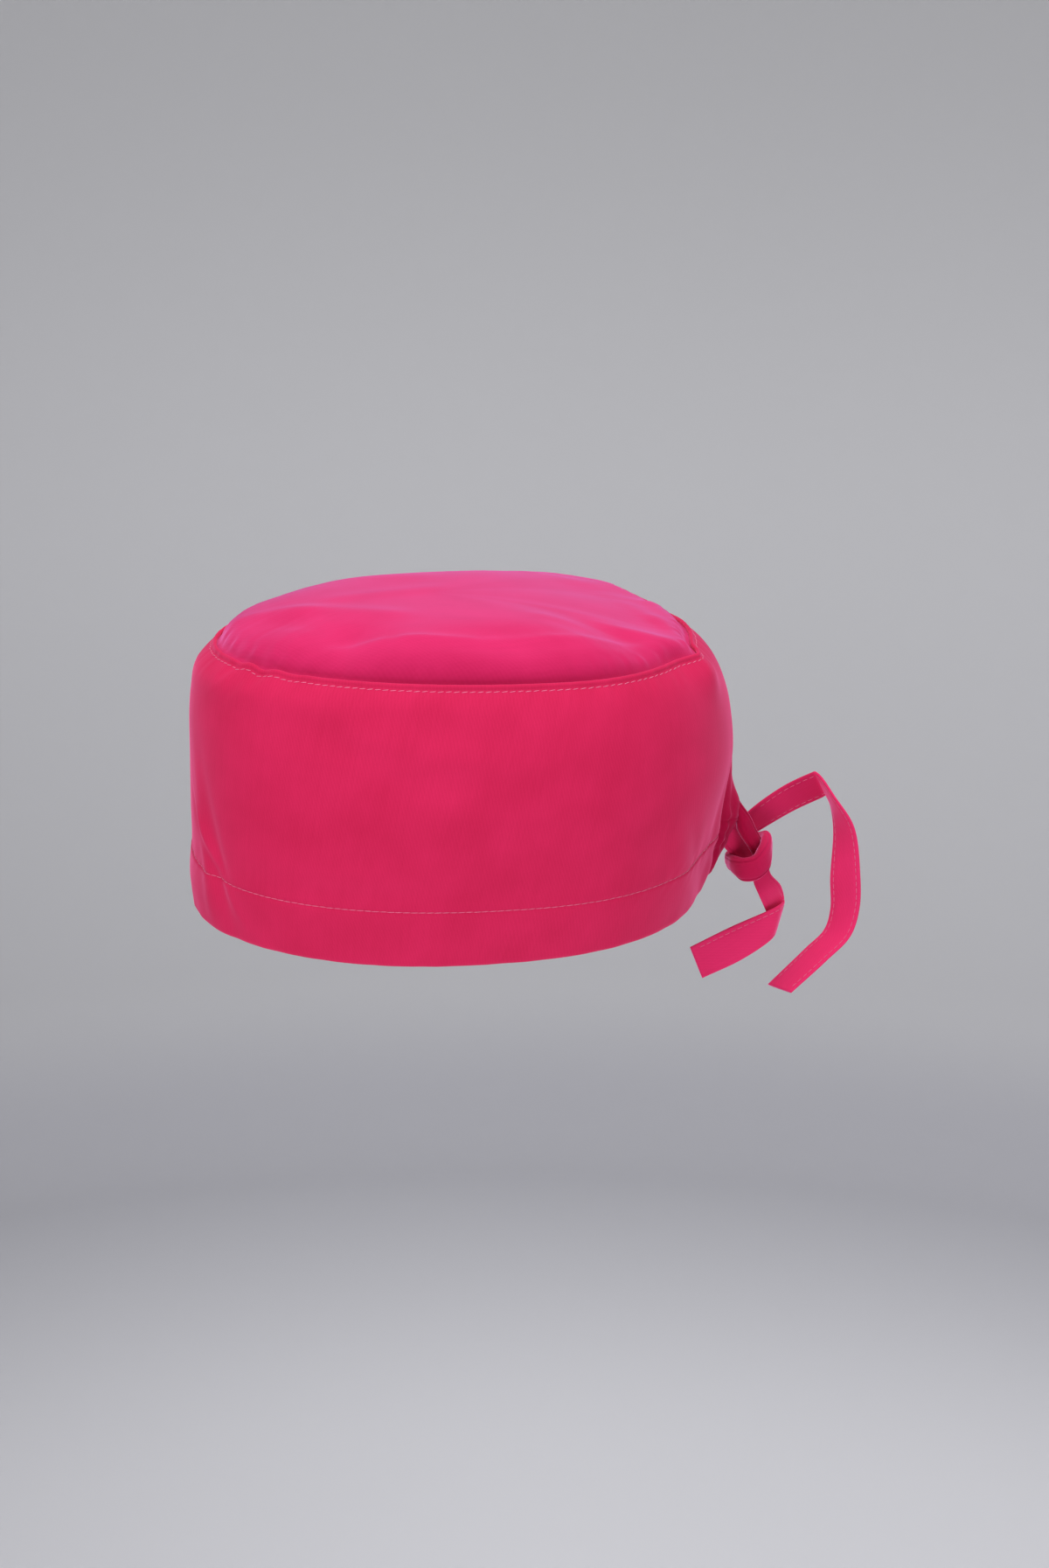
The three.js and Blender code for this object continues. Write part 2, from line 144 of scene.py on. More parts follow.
# %% Camera at the photograph's angle
AZIMUTH = 80
ELEVATION = 20
DISTANCE = 1.05
LOOK_AT = Vector((0, 0.027, 0.043))
MM_PER_PIXEL = 0.36
IMAGE_HEIGHT = 1793
SENSOR = 36


def direction(azimuth, elevation):
    """Unit vector from the cap towards a viewer; azimuth 0 stands in front of the forehead."""
    turn, rise = math.radians(azimuth), math.radians(elevation)
    return Vector((math.sin(turn) * math.cos(rise), -math.cos(turn) * math.cos(rise), math.sin(rise)))


camera = put_in_scene("camera", bpy.data.cameras.new("camera"))
bpy.context.scene.camera = camera
towards = direction(AZIMUTH, ELEVATION)
camera.location = LOOK_AT + towards * DISTANCE
camera.rotation_mode = "QUATERNION"
camera.rotation_quaternion = towards.to_track_quat("Z", "Y")
camera.data.sensor_width = SENSOR
camera.data.lens = SENSOR * DISTANCE / (MM_PER_PIXEL * MM * IMAGE_HEIGHT)
print("lens", round(camera.data.lens, 2), "mm")

# %% [markdown]
# ## The studio
# The cap hangs in the air over a grey paper roll that turns from floor to wall in one round cove.
# One profile is spun about the cap, so that the backdrop is there from every side, well outside
# every camera. Shade is painted onto the paper from place to place: pale in front, darker at the cove
# and up the wall. The light comes from soft boxes, which give cloth its gentle shading: a large one
# above, a key high at the brow's side, one low in front for the hem, and three weak ones at the edges.

# %% Floor and cove
FLOOR_Z = -1.33
COVE_RADIUS = 0.22
WALL_RADIUS = 2.4
WALL_TOP = 2.6
COVE_STEPS = 16
ROUND_STEPS = 96
PAPER_WELD = 0.001
PAPER_COLOUR = "#f4f4f8"
PAPER_ROUGHNESS = (0.86, 0.98)

# What each painted shade on the paper follows, where it begins and ends, how strong it gets, and its colour
PAPER_PAINTED_SHADES = (
    ("radius", 1.5, 2.4, 1.0, "#c6c6cc"),
    ("Z", FLOOR_Z + 0.04, FLOOR_Z + 0.22, 1.0, "#d8d8da"),
    ("Z", FLOOR_Z + 0.8, FLOOR_Z + 1.7, 0.6, "#acacae"),
    ("Y", 0.4, -0.9, 0.35, "#a8a8ac"),
)


def painted_paper(name):
    """Seamless background paper: a matt coat with hardly a highlight, with shade painted on from place to
    place.
    """
    material = new_material(name)
    tree = material.node_tree
    place = add_node(tree, "ShaderNodeTexCoord").outputs["Object"]
    part = add_node(tree, "ShaderNodeSeparateXYZ", {0: place}).outputs
    level = add_node(tree, "ShaderNodeVectorMath", {0: place, 1: (1, 1, 0)}, operation="MULTIPLY")
    radius = add_node(tree, "ShaderNodeVectorMath", {0: level.outputs[0]}, operation="LENGTH")
    follow = {"radius": radius.outputs["Value"], "Y": part["Y"], "Z": part["Z"]}
    colour = linear(PAPER_COLOUR)
    # Each painted shade darkens the paper towards its colour
    for key, begin, end, strength, tint in PAPER_PAINTED_SHADES:
        share = map_range(tree, follow[key], (begin, end), (0, strength), interpolation_type="SMOOTHSTEP")
        colour = mix_colours(tree, share, colour, linear(tint))
    rough = map_range(tree, noise(tree, place, 2.2, 3), (0, 1), PAPER_ROUGHNESS)
    return give_surface(material, {"Base Color": colour, "Roughness": rough, "Specular IOR Level": 0.2})


profile = [(0, FLOOR_Z)]
for step in range(COVE_STEPS + 1):
    turn = math.pi / 2 * step / COVE_STEPS
    profile.append((WALL_RADIUS - COVE_RADIUS * (1 - math.sin(turn)),
                    FLOOR_Z + COVE_RADIUS * (1 - math.cos(turn))))
profile.append((WALL_RADIUS, WALL_TOP))

bm = bmesh.new()
line = [bm.verts.new((radius, 0, z)) for radius, z in profile]
edges = [bm.edges.new(pair) for pair in zip(line, line[1:])]
bmesh.ops.spin(bm, geom=line + edges, cent=(0, 0, 0), axis=(0, 0, 1), angle=math.tau,
               steps=ROUND_STEPS, use_merge=True)
bmesh.ops.remove_doubles(bm, verts=bm.verts, dist=PAPER_WELD)
bmesh.ops.recalc_face_normals(bm, faces=bm.faces)
backdrop_mesh = bpy.data.meshes.new("backdrop")
bm.to_mesh(backdrop_mesh)
bm.free()
backdrop_mesh.polygons.foreach_set("use_smooth", [True] * len(backdrop_mesh.polygons))
backdrop_mesh.materials.append(painted_paper("matt_background_paper"))
put_in_scene("backdrop", backdrop_mesh)
print("backdrop with", len(backdrop_mesh.polygons), "faces")

# %% Soft boxes
AIM = Vector((0, 0, 0.06))
AIR_COLOUR = "#c8c8cc"
AIR_STRENGTH = 0.3

# Each light's name, place and size in metres, and power in watts
SOFT_BOXES = (
    ("top_box", (0.1, 0.1, 1.9), 1.5, 37.5),
    ("key_box", (1.0, -1.15, 1.0), 1.1, 6.8),
    ("right_box", (1.4, 1.2, 0.15), 1.0, 4.2),
    ("low_box", (1.35, -0.5, -0.6), 1.0, 11.5),
    ("brow_box", (-0.4, -1.7, 0.5), 0.8, 3),
    ("nape_box", (-0.5, 1.7, 0.6), 0.8, 2.5),
)


def soft_box(name, place, size, watts):
    """A square area light that points at the cap and doesn't show to the camera."""
    data = bpy.data.lights.new(name, "AREA")
    data.size = size
    data.energy = watts
    lamp = put_in_scene(name, data)
    lamp.location = place
    lamp.rotation_mode = "QUATERNION"
    lamp.rotation_quaternion = (Vector(place) - AIM).to_track_quat("Z", "Y")
    lamp.visible_camera = False


for box in SOFT_BOXES:
    soft_box(*box)
world = bpy.data.worlds.new("studio_air")
bpy.context.scene.world = world
world.use_nodes = True
air = world.node_tree.nodes["Background"].inputs
air["Color"].default_value = linear(AIR_COLOUR)
air["Strength"].default_value = AIR_STRENGTH
bpy.context.scene.view_settings.view_transform = "Standard"
print(len(SOFT_BOXES), "soft boxes,", sum(box[3] for box in SOFT_BOXES), "W")

# %% [markdown]
# ## Sizes of the cap
# The cap has no straight line, so its sizes are kept in short tables, in millimetres and degrees.
# Each row of LEVELS is the band's outline at one height, made of two half ovals. Angles run round
# from the middle of the back: 90 is the wearer's left side, towards the camera, and 180 the brow.
# A spot on the seam is kept as two numbers, its angle and how far it reaches on either side.

# %% Tables


def table(names, *rows):
    """Named columns from rows of numbers."""
    return dict(zip(names.split(), np.array(rows, float).T))


def rows_of(columns):
    """The rows of a table again, one at a time."""
    return zip(*columns.values())


WALL = 1.6
SEAM = 109.5
HEM = 24
SEAM_STITCHES = SEAM - 1.6
CLEARANCE = 0.35
PANEL_WALL = 1.4

# The last column is how far the cloth is drawn out towards the knot, within a few mm of the slit
DRAWN_REACH = 13
DRAWN_POWER = 1.6
LEVELS = table(
    "z wide mid_y front_y back_y front_bow back_bow drawn",
    (0, 83, 0, -110, 94, 2, 2.4, 13),
    (12, 85.5, 4, -111, 96, 2.05, 2.4, 15.5),
    (24, 87, 8, -110, 98, 2.15, 2.4, 16),
    (42, 89, 12, -109.4, 103.5, 2.15, 2.3, 10),
    (62, 89.5, 17, -109, 109, 2.1, 2.25, 4),
    (80, 87, 22, -108.4, 109.3, 2.05, 2.2, 0.5),
    (93, 83.5, 26, -107, 106, 2, 2.2, 0),
    (102, 80, 28, -104.8, 101, 2, 2.2, 0),
    (109.5, 75, 30, -97.5, 93, 2, 2.2, 0),
)
SLIT = table("z half_gap", (0, 1.9), (36, 1.9), (48, 3.5), (62, 3), (72, 0))
SLIT_SPREAD = 30

# Broad folds, the same as the measured model's: a middle, how far it leans, its size and its rise
BROAD_FOLDS = table(
    "at lean z tall wide rise",
    (33, 0, 108, 12, 7, 5),
    (326, 0, 106, 12, 8, -2),
    (14.5, 2, 38, 24, 3.4, 2.2),
    (8, 1, 36, 22, 3, -2.4),
    (345, -2, 36, 24, 3.6, 2),
    (352, -1, 36, 22, 3, -2.2),
    (26, 6, 22, 18, 5, -1),
    (333, -5, 22, 22, 5, -1.8),
    (158, 6, 32, 26, 3, -1.4),
    (164, 5, 30, 26, 3, 1.2),
    (203, -5, 36, 26, 4, -1.2),
    (120, 0, 30, 7, 46, -0.7),
    (240, 0, 30, 7, 46, -0.7),
)

# Creases and dents that only the cloth shows
FINE_FOLDS = table(
    "at lean z tall wide rise",
    (160.5, 10, 33, 17, 1.9, 1),
    (163.8, 10, 33, 18, 2.6, -0.8),
    (118, 0, 99, 5, 12, -0.3),
    (115, 11, 89, 8, 10, 0.5),
    (125.5, 10, 87, 12, 5, -0.3),
    (88, 0, 91, 9, 12, 0.35),
    (106, 0, 74, 8, 12, -0.3),
    (118, 0, 37, 5, 12, 0.4),
    (150, -2, 104, 5, 1.6, 0.35),
    (155, -2, 103, 6, 1.6, -0.4),
    (160, -3, 104, 5, 1.7, 0.4),
    (70, 4, 60, 16, 9, 0.35),
    (58, 6, 44, 18, 7, -0.4),
    (46, 8, 34, 20, 5, 0.5),
    (36, 8, 30, 18, 3.5, -0.6),
    (215, -8, 40, 22, 4, 0.7),
    (232, 6, 88, 9, 8, 0.5),
    (255, 0, 70, 12, 12, -0.4),
    (283, -4, 90, 9, 9, 0.4),
    (305, -6, 50, 20, 7, -0.5),
    (318, -8, 36, 20, 5, 0.7),
    (1, 0, 28, 9, 1.5, 2.4),
    (359, 0, 28, 9, 1.5, 2.4),
    (5.5, 0.5, 25, 14, 1.7, -3.8),
    (10.5, 1.5, 26, 14, 2.3, 1.8),
    (11, 2, 46, 12, 4, -3.6),
    (3.5, 1, 46, 14, 2, 1.4),
    (12, 0, 7, 9, 5, 1.1),
    (354.5, -0.5, 30, 19, 1.7, -3.4),
    (349.5, -1.5, 34, 22, 2.2, 1.8),
)

# Ripples of the top panel beside its seam
RIPPLES = table(
    "at wide rise",
    (40, 6, 2.2), (52, 7, -1.4), (74, 9, 1.2), (97, 8, -1.5), (118, 8, 1.8),
    (134, 6, -2.2), (150, 7, 1.3), (214, 8, -0.3), (236, 9, 0.5), (262, 9, -1.2),
    (290, 9, 0.3), (324, 9, 0.7), (346, 15, 0.8),
)
print(len(LEVELS["z"]), "levels,", len(FINE_FOLDS["at"]) + len(BROAD_FOLDS["at"]), "folds")

# %% [markdown]
# ## Where a point of the cloth lies
# A point of the band is given by its angle, its height and its depth under the outer face. These
# functions turn that into a place in space, for whole arrays of points at a time.

# %% From cloth to space
NORMAL_STEP = 0.5
GIRTH_LEVEL = 50


def column(rows, key, where, at):
    """Smooth value of a named column between the rows of a table."""
    x, y = rows[where], rows[key]
    last = len(x) - 1
    row = np.clip(np.searchsorted(x, at, side="left") - 1, 0, last - 1)
    before, after = np.maximum(row - 1, 0), np.minimum(row + 2, last)
    span = x[row + 1] - x[row]
    part = np.clip((at - x[row]) / span, 0, 1)
    slope_in = (y[row + 1] - y[before]) / (x[row + 1] - x[before]) * span
    slope_out = (y[after] - y[row]) / (x[after] - x[row]) * span
    square, cube = part ** 2, part ** 3
    return (y[row] * (2 * cube - 3 * square + 1) + slope_in * (cube - 2 * square + part)
            + y[row + 1] * (3 * square - 2 * cube) + slope_out * (cube - square))


def bump(distance, reach):
    """1 in the middle, fading smoothly to almost nothing at twice the reach."""
    return np.exp(-(distance / reach) ** 2)


def close_to(angle, spot):
    """1 at a spot round the cap, which is an angle and a reach, and fading away from it."""
    middle, reach = spot
    return bump((angle - middle + 180) % 360 - 180, reach)


def signed_power(value, power):
    """A power that keeps the sign."""
    return np.sign(value) * np.abs(value) ** power


def unit(vectors):
    """The same directions, each of length 1."""
    return vectors / np.linalg.norm(vectors, axis=-1, keepdims=True)


def distance_along(points):
    """How far along a line each of its points lies."""
    return np.concatenate([[0], np.cumsum(np.linalg.norm(np.diff(points, axis=0), axis=1))])


def vectors_at(where, known, vectors):
    """Vectors read between the known places along a line."""
    return np.stack([np.interp(where, known, part) for part in vectors.T], -1)


def plan_point(angle, z):
    """Plan of the band at one level, before its folds."""
    level = {key: column(LEVELS, key, "z", z) for key in LEVELS if key != "z"}
    side, back = np.sin(np.radians(angle)), np.cos(np.radians(angle))
    behind = back >= 0
    power = 2 / np.where(behind, level["back_bow"], level["front_bow"])
    reach = np.where(behind, level["back_y"] - level["mid_y"], level["mid_y"] - level["front_y"])
    x = level["wide"] * signed_power(side, power)
    drawn = np.where(behind, level["drawn"] / (1 + (np.abs(x) / DRAWN_REACH) ** DRAWN_POWER), 0)
    y = level["mid_y"] + reach * signed_power(back, power) + drawn
    return np.stack([x, y, z + 0 * x], -1)


def plan_normal(angle, z):
    """Outward direction, square to the wall, from the plan's neighbours."""
    along = plan_point(angle + NORMAL_STEP, z) - plan_point(angle - NORMAL_STEP, z)
    up = plan_point(angle, np.minimum(z + NORMAL_STEP, SEAM)) - plan_point(angle, z - NORMAL_STEP)
    return unit(np.cross(up, along))


def fold_rise(rows, angle, z):
    """Sum of all folds of a table at a point."""
    total = 0 * angle
    for at, lean, mid_z, tall, wide, rise in rows_of(rows):
        middle = at + lean * (z - mid_z) / tall
        total = total + rise * close_to(angle, (middle, wide)) * bump(z - mid_z, tall)
    return total


def wall_point(angle, z, depth, rise):
    """A point of the wall, moved out by rise and in by depth."""
    normal = plan_normal(angle, z)
    level = unit(normal * [1, 1, 0])
    return plan_point(angle, z) + level * rise[..., None] - normal * depth[..., None]


ROUND = np.linspace(0, 360, 1441)
GIRTH = distance_along(plan_point(ROUND, np.full(ROUND.shape, float(GIRTH_LEVEL))))
print("the band is", round(GIRTH[-1]), "mm round")


def arc(angle):
    """Distance round the band from the middle of the back, in millimetres."""
    return np.interp(angle, ROUND, GIRTH)


# %% [markdown]
# ## Small life in the cloth
# Cloth that is sewn is never smooth. Feeding through the machine leaves it puckered along a seam,
# the hem stitching drags it in slanting ripples, and at the back it is gathered towards the knot,
# in folds that fan out from it. Sums of a few sines of odd lengths give this without a random draw.

# %% Puckers and gathers
KNOT_HEIGHT = 20
SEAM_PUCKER = 0.17
HEM_PUCKER = 0.1
EDGE_PUCKER = 0.14
BROAD_WAVE = 0.22
PUCKERED_BROW = (154, 12)
BROW_PUCKER = 0.9
KINKED_BROW = (152, 9)
KINK_HEIGHT = 0.8
FAR_SAG = (343, 15)
FAR_DROP = 3
SAG_DEPTH = 25


def puckers(round_mm):
    """Uneven ripples along a sewn line, about 1 high."""
    drift = 1.3 * np.sin(round_mm / 31) + 0.8 * np.sin(round_mm / 17 + 2)
    return 0.6 * np.sin(round_mm / 1.48 + drift) + 0.4 * np.sin(round_mm / 0.97 - 1.7 * drift)


def gathers(round_mm, z):
    """Upright pleats beside the slit, and longer folds that fan out from the knot."""
    near = np.abs(round_mm)
    distance = np.hypot(round_mm, z - KNOT_HEIGHT)
    fan = np.arctan2(z - KNOT_HEIGHT, near + 3)
    folds = np.sin(11 * fan + 0.6 * np.sin(round_mm / 5)) * np.exp(-distance / 16) * (1 - bump(distance, 9))
    pleats = np.sin(near / 0.72 + 0.5 * np.sin(z / 8)) * bump(near, 9) * bump(z - KNOT_HEIGHT, 19)
    return 1.4 * folds + 1.1 * pleats


def cloth_rise(angle, z):
    """Everything that lifts the band's cloth off its plan."""
    round_mm = arc(angle)
    from_slit = np.minimum(round_mm, GIRTH[-1] - round_mm) * np.where(angle < 180, 1, -1)
    brow = 1 + BROW_PUCKER * close_to(angle, PUCKERED_BROW)
    seam = SEAM_PUCKER * brow * puckers(round_mm - 0.25 * (SEAM - z)) * bump(z - SEAM + 3, 4.5)
    hem = HEM_PUCKER * puckers(round_mm + 0.7 * (z - HEM)) * bump(z - HEM, 5)
    edge = EDGE_PUCKER * puckers(0.5 * round_mm + 7) * bump(z, 8)
    broad = BROAD_WAVE * np.sin(round_mm / 19 + z / 23) * np.sin(z / 15 + 1.3 * np.sin(round_mm / 41))
    quiet = 1 - bump(z - SEAM, 6)
    return (fold_rise(BROAD_FOLDS, angle, z) + fold_rise(FINE_FOLDS, angle, z) + seam + hem + edge
            + quiet * broad + gathers(from_slit, z))


def seam_kink(angle):
    """Small ups and downs of the seam where it was eased round the brow."""
    return KINK_HEIGHT * np.sin(np.radians(40 * angle)) * close_to(angle, KINKED_BROW)


def seam_drop(angle, height):
    """At the far side of the back the seam hangs a little lower."""
    return FAR_DROP * close_to(angle, FAR_SAG) * bump(SEAM - height, SAG_DEPTH)


def band_point(angle, height, depth):
    """Where the band's cloth lies; above the seam it stands square to the seam line."""
    z = np.minimum(height, SEAM)
    over = height - z
    rise = cloth_rise(angle, z)
    base = wall_point(angle, z, depth, rise)
    top = np.full(z.shape, SEAM)
    zero = 0 * z
    up = unit(wall_point(angle, top, zero, cloth_rise(angle, top))
              - wall_point(angle, top - 1, zero, cloth_rise(angle, top - 1)))
    point = base + up * over[..., None]
    point[..., 2] += seam_kink(angle) * bump(height - SEAM, 5) - seam_drop(angle, height)
    gap = np.interp(z, SLIT["z"], SLIT["half_gap"])
    fade = np.maximum(0, 1 - np.abs(point[..., 0]) / SLIT_SPREAD)
    point[..., 0] += np.where(angle < 180, 1, -1) * gap * fade ** 2
    return point


print("puckers up to", round(float(np.abs(puckers(np.arange(0, 600, 0.5))).max()), 2))

# %% [markdown]
# ## Poly-cotton twill
# The cloth is polyester and cotton, piece-dyed hot pink, and woven as a twill: each thread passes
# over two and under one, a step further on in each row, which draws fine slanting lines. Spun cotton
# ends stand up from it as a soft fuzz, so it stays matt and turns paler where it is seen edge-on,
# which is what the sheen lobe does. The real lines are 0.6 mm apart, too fine for the picture, so
# they are drawn about twice as wide. The pattern reads the piece's own cloth map, in millimetres.

# %% The twill material
# How far apart a wave texture of scale 1 draws its lines
WAVE_PERIOD = 0.31416
TWILL_PITCH = 1.15
RIB_PITCH = 0.8
SLUB_SCALE = (0.9, 0.05, 1)
RIB_HEIGHT = 0.5
FUZZ_HEIGHT = 1.5
SLUB_TONE = 0.4
WEAVE_TONE = 0.16
TONE_RANGE = (0.49, 1.49)
RELIEF = {"Strength": 0.11, "Distance": 0.0001}
# Darker colour of painted shade, mixed in where the knot, the band beside it and the panel's near rim are
# shaded
PAINTED_SHADE_COLOUR = "#a40038"


def weave_lines(tree, vector, pitch, distortion, detail_scale):
    """Upright lines of the weave, a pitch apart, that waver a little."""
    return add_node(
        tree, "ShaderNodeTexWave",
        {"Vector": vector, "Scale": WAVE_PERIOD / pitch, "Distortion": distortion,
         "Detail": 2, "Detail Scale": detail_scale},
        wave_type="BANDS", bands_direction="X",
    ).outputs["Fac"]


def weave_height(tree, cloth, lean):
    """Height of the weave: slanting lines over upright ribs, with the fuzz of spun yarn."""
    slanted = add_node(tree, "ShaderNodeMapping", {"Vector": cloth, "Rotation": (0, 0, math.radians(lean))})
    lines = weave_lines(tree, slanted.outputs[0], TWILL_PITCH, 1.2, 2.5)
    ribs = weave_lines(tree, cloth, RIB_PITCH, 1.5, 3)
    weave = multiply_add(tree, ribs, RIB_HEIGHT, lines)
    return multiply_add(tree, noise(tree, cloth, 1.6, 4), FUZZ_HEIGHT, weave)


def twill(name, dye, shade, lean, sheen, tint):
    """Dyed twill whose lines lean by that many degrees from the cloth's upright threads."""
    material = new_material(name)
    tree = material.node_tree
    cloth = add_node(tree, "ShaderNodeUVMap", uv_map="cloth").outputs["UV"]
    height = weave_height(tree, cloth, lean)
    slub_map = add_node(tree, "ShaderNodeMapping", {"Vector": cloth, "Scale": SLUB_SCALE})
    slubs = noise(tree, slub_map.outputs[0], 1, 3)
    uneven = multiply_add(tree, slubs, SLUB_TONE, noise(tree, cloth, 0.045, 2))
    share = map_range(tree, multiply_add(tree, height, WEAVE_TONE, uneven), TONE_RANGE)
    # Painted shade: each vertex's share of the painted shade colour, from 0 to 1
    painted_shade = add_node(tree, "ShaderNodeAttribute", attribute_name="painted_shade").outputs["Fac"]
    colour = mix_colours(tree, share, linear(shade), linear(dye))
    relief = add_node(tree, "ShaderNodeBump", {"Height": height, **RELIEF})
    return give_surface(material, {
        "Base Color": mix_colours(tree, painted_shade, colour, linear(PAINTED_SHADE_COLOUR)),
        "Roughness": 0.85, "IOR": 1.5, "Specular IOR Level": 0.1,
        "Sheen Weight": sheen, "Sheen Roughness": 0.4, "Sheen Tint": linear(tint),
        "Normal": relief.outputs[0],
    })


# The panel and the ties are the band's cloth; their lighter pinks are painted light, for the stronger light
# that falls on them
band_twill = twill("polycotton_twill_band", "#da265b", "#c41c4a", 24, 0.6, "#ff80b8")
panel_twill = twill("polycotton_twill_top", "#de2b6a", "#ca215a", 58, 0.95, "#ff94e2")
tie_twill = twill("polycotton_twill_tie", "#ee3070", "#da2860", 24, 1.2, "#ff94ce")


def spun_thread(name, light, dark):
    """Polyester sewing thread: smoother than the cloth, and dyed a lighter pink."""
    material = new_material(name)
    tree = material.node_tree
    place = add_node(tree, "ShaderNodeTexCoord").outputs["Object"]
    colour = mix_colours(tree, noise(tree, place, 2500, 1), linear(dark), linear(light))
    return give_surface(material, {"Base Color": colour, "Roughness": 0.55, "Sheen Weight": 0.2})


thread = spun_thread("polyester_sewing_thread", "#ee7fa6", "#c9416f")
print("cloth materials", [m.name for m in (band_twill, panel_twill, tie_twill, thread)])

# %% [markdown]
# ## From a mesh in millimetres to a finished piece
# Every piece is bent to shape in millimetres. One function moves all its vertices at once, scales it
# to metres and gives it its material. Each cell then hides the measured node that its piece replaces.

# %% Finishing a piece


def vertex_places(mesh):
    """The vertices' places, as an array."""
    places = np.empty(len(mesh.vertices) * 3)
    mesh.vertices.foreach_get("co", places)
    return places.reshape(-1, 3)


def map_cloth(mesh, places, cloth):
    """Writes the cloth map. cloth gets each face corner's place and its face's middle."""
    corners = np.empty(len(mesh.loops), int)
    mesh.loops.foreach_get("vertex_index", corners)
    sides = np.empty(len(mesh.polygons), int)
    mesh.polygons.foreach_get("loop_total", sides)
    middles = np.empty(len(mesh.polygons) * 3)
    mesh.polygons.foreach_get("center", middles)
    mapped = cloth(places[corners], np.repeat(middles.reshape(-1, 3), sides, axis=0))
    mesh.uv_layers.new(name="cloth").data.foreach_set("uv", mapped.ravel())


def finish_piece(name, bm, material, place=None, cloth=None, paint_shade=None):
    """Makes an object of a bmesh, moved by place, with its cloth map and its painted shade."""
    mesh = bpy.data.meshes.new(name)
    bm.to_mesh(mesh)
    bm.free()
    places = vertex_places(mesh)
    if cloth:
        map_cloth(mesh, places, cloth)
    # Painted shade, as a share for each vertex
    if paint_shade:
        mesh.attributes.new("painted_shade", "FLOAT", "POINT").data.foreach_set("value", paint_shade(places))
    if place:
        places = place(places)
    mesh.vertices.foreach_set("co", (places * MM).ravel())
    mesh.polygons.foreach_set("use_smooth", [True] * len(mesh.polygons))
    mesh.materials.append(material)
    mesh.update()
    piece = put_in_scene(name, mesh)
    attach(piece, "root")
    triangles = sum(len(polygon.vertices) - 2 for polygon in mesh.polygons)
    print(name, "has", triangles, "triangles")
    return piece


# %% [markdown]
# ## A strip of cloth
# Spinning or extruding a long outline hundreds of times is slow, and a grid gives the same faces at
# once. Its columns run along the cloth and its rows follow an outline across it. Where the outline
# comes back to its start, as round a flat tube, the first and last rows are then welded.

# %% A grid rolled into shape
WELD = 0.001


def strip(columns, outline, place):
    """A grid with a row for each point of the outline. place(share, point) sets its vertices."""
    last = len(outline) - 1
    bm = bmesh.new()
    bmesh.ops.create_grid(bm, x_segments=columns, y_segments=last, size=0.5)
    for vert in bm.verts:
        vert.co = place(vert.co.x + 0.5, outline[round((vert.co.y + 0.5) * last)])
    bmesh.ops.remove_doubles(bm, verts=bm.verts, dist=WELD)
    return bm


# %% [markdown]
# ## The ties
# Each tie is a strip of the same twill, folded lengthwise and stitched along its edges. It starts at
# a hem end, runs through the knot and hangs free. A straight ribbon with rounded edges comes first,
# in many short steps. Then its rings are set on two smooth curves, one for each long edge, so that
# it can twist and fold while it keeps its width. A rope along one curve couldn't lie flat.

# %% Routes of the ties
TIE_COLUMNS = "ax ay az bx by bz thick puff"
TIE_NEAR = table(
    TIE_COLUMNS,
    (0, 109, 18, 0, 107.5, 9, 2.2, 0.4),
    (-0.4, 117, 20, -0.4, 110.5, 10.5, 2.2, 0.3),
    (-3.5, 121.5, 13, -0.5, 115.5, 5.5, 3, 0.9),
    (-3.5, 126, 6, -2.5, 120.5, -0.5, 3, 0.8),
    (-5.8, 128.5, 2.8, -5.2, 124.5, -3.8, 2.8, 0.6),
    (-9.5, 126, 1.6, -8.5, 125, -5.4, 2.8, 0.5),
    (-10, 120.2, 2.8, -10, 120.8, -4.8, 2.8, 0.5),
    (-8, 117, 4.3, -8, 118, -3.3, 2.8, 0.4),
    (-3.5, 115, 4.8, -3.5, 116.8, -2.4, 2.8, 0.4),
    (1.5, 115, 6, 1.5, 117, -1.5, 3, 0.6),
    (5.5, 115.5, 7, 6, 118, -2, 3.4, 0.9),
    (9, 118.5, 7.5, 10.5, 119.5, -2.5, 4, 1.1),
    (10.5, 122.5, 9, 12, 124, -1.5, 4.2, 1.1),
    (10, 125, 12, 11, 128.5, 2, 4, 1),
    (7.5, 127.5, 14, 7.5, 130, 8, 3.4, 0.8),
    (3, 128.5, 15, 1.5, 131.5, 12.5, 3, 0.7),
    (-3.5, 127.5, 12, -5.5, 130.5, 10.5, 2.8, 0.6),
    (-8, 124.5, 11, -10.5, 128, 8, 2.6, 0.5),
    (-11.5, 121, 12.5, -12, 127, 8.5, 2.4, 0.4),
    (-10, 123, 18.5, -12, 130, 10.5, 2, 0.3),
    (-7, 138.5, 32, -11, 145.5, 19.5, 1.5, 0),
    (-6.5, 151.5, 38, -10.5, 158, 25, 1.5, 0),
    (-6, 152.5, 38.5, -10, 159.5, 26, 1.5, 0),
    (-4, 154.5, 37, -9, 160, 25, 1.5, 0),
    (2, 159, 30, -9, 161.5, 21, 1.5, 0),
    (7.5, 166.5, 18, -4.5, 161.5, 11.5, 1.5, 0),
    (9, 170, -3.5, 0, 159.5, -7.5, 1.5, 0),
    (10, 170, -19.5, 0.5, 160, -22.5, 1.5, 0),
    (12, 166, -30.5, 1, 157.5, -31.5, 1.5, 0),
    (14.5, 155, -40, 2.5, 149, -39, 1.5, 0),
    (18, 139, -52, 6, 132, -53, 1.5, 0),
)
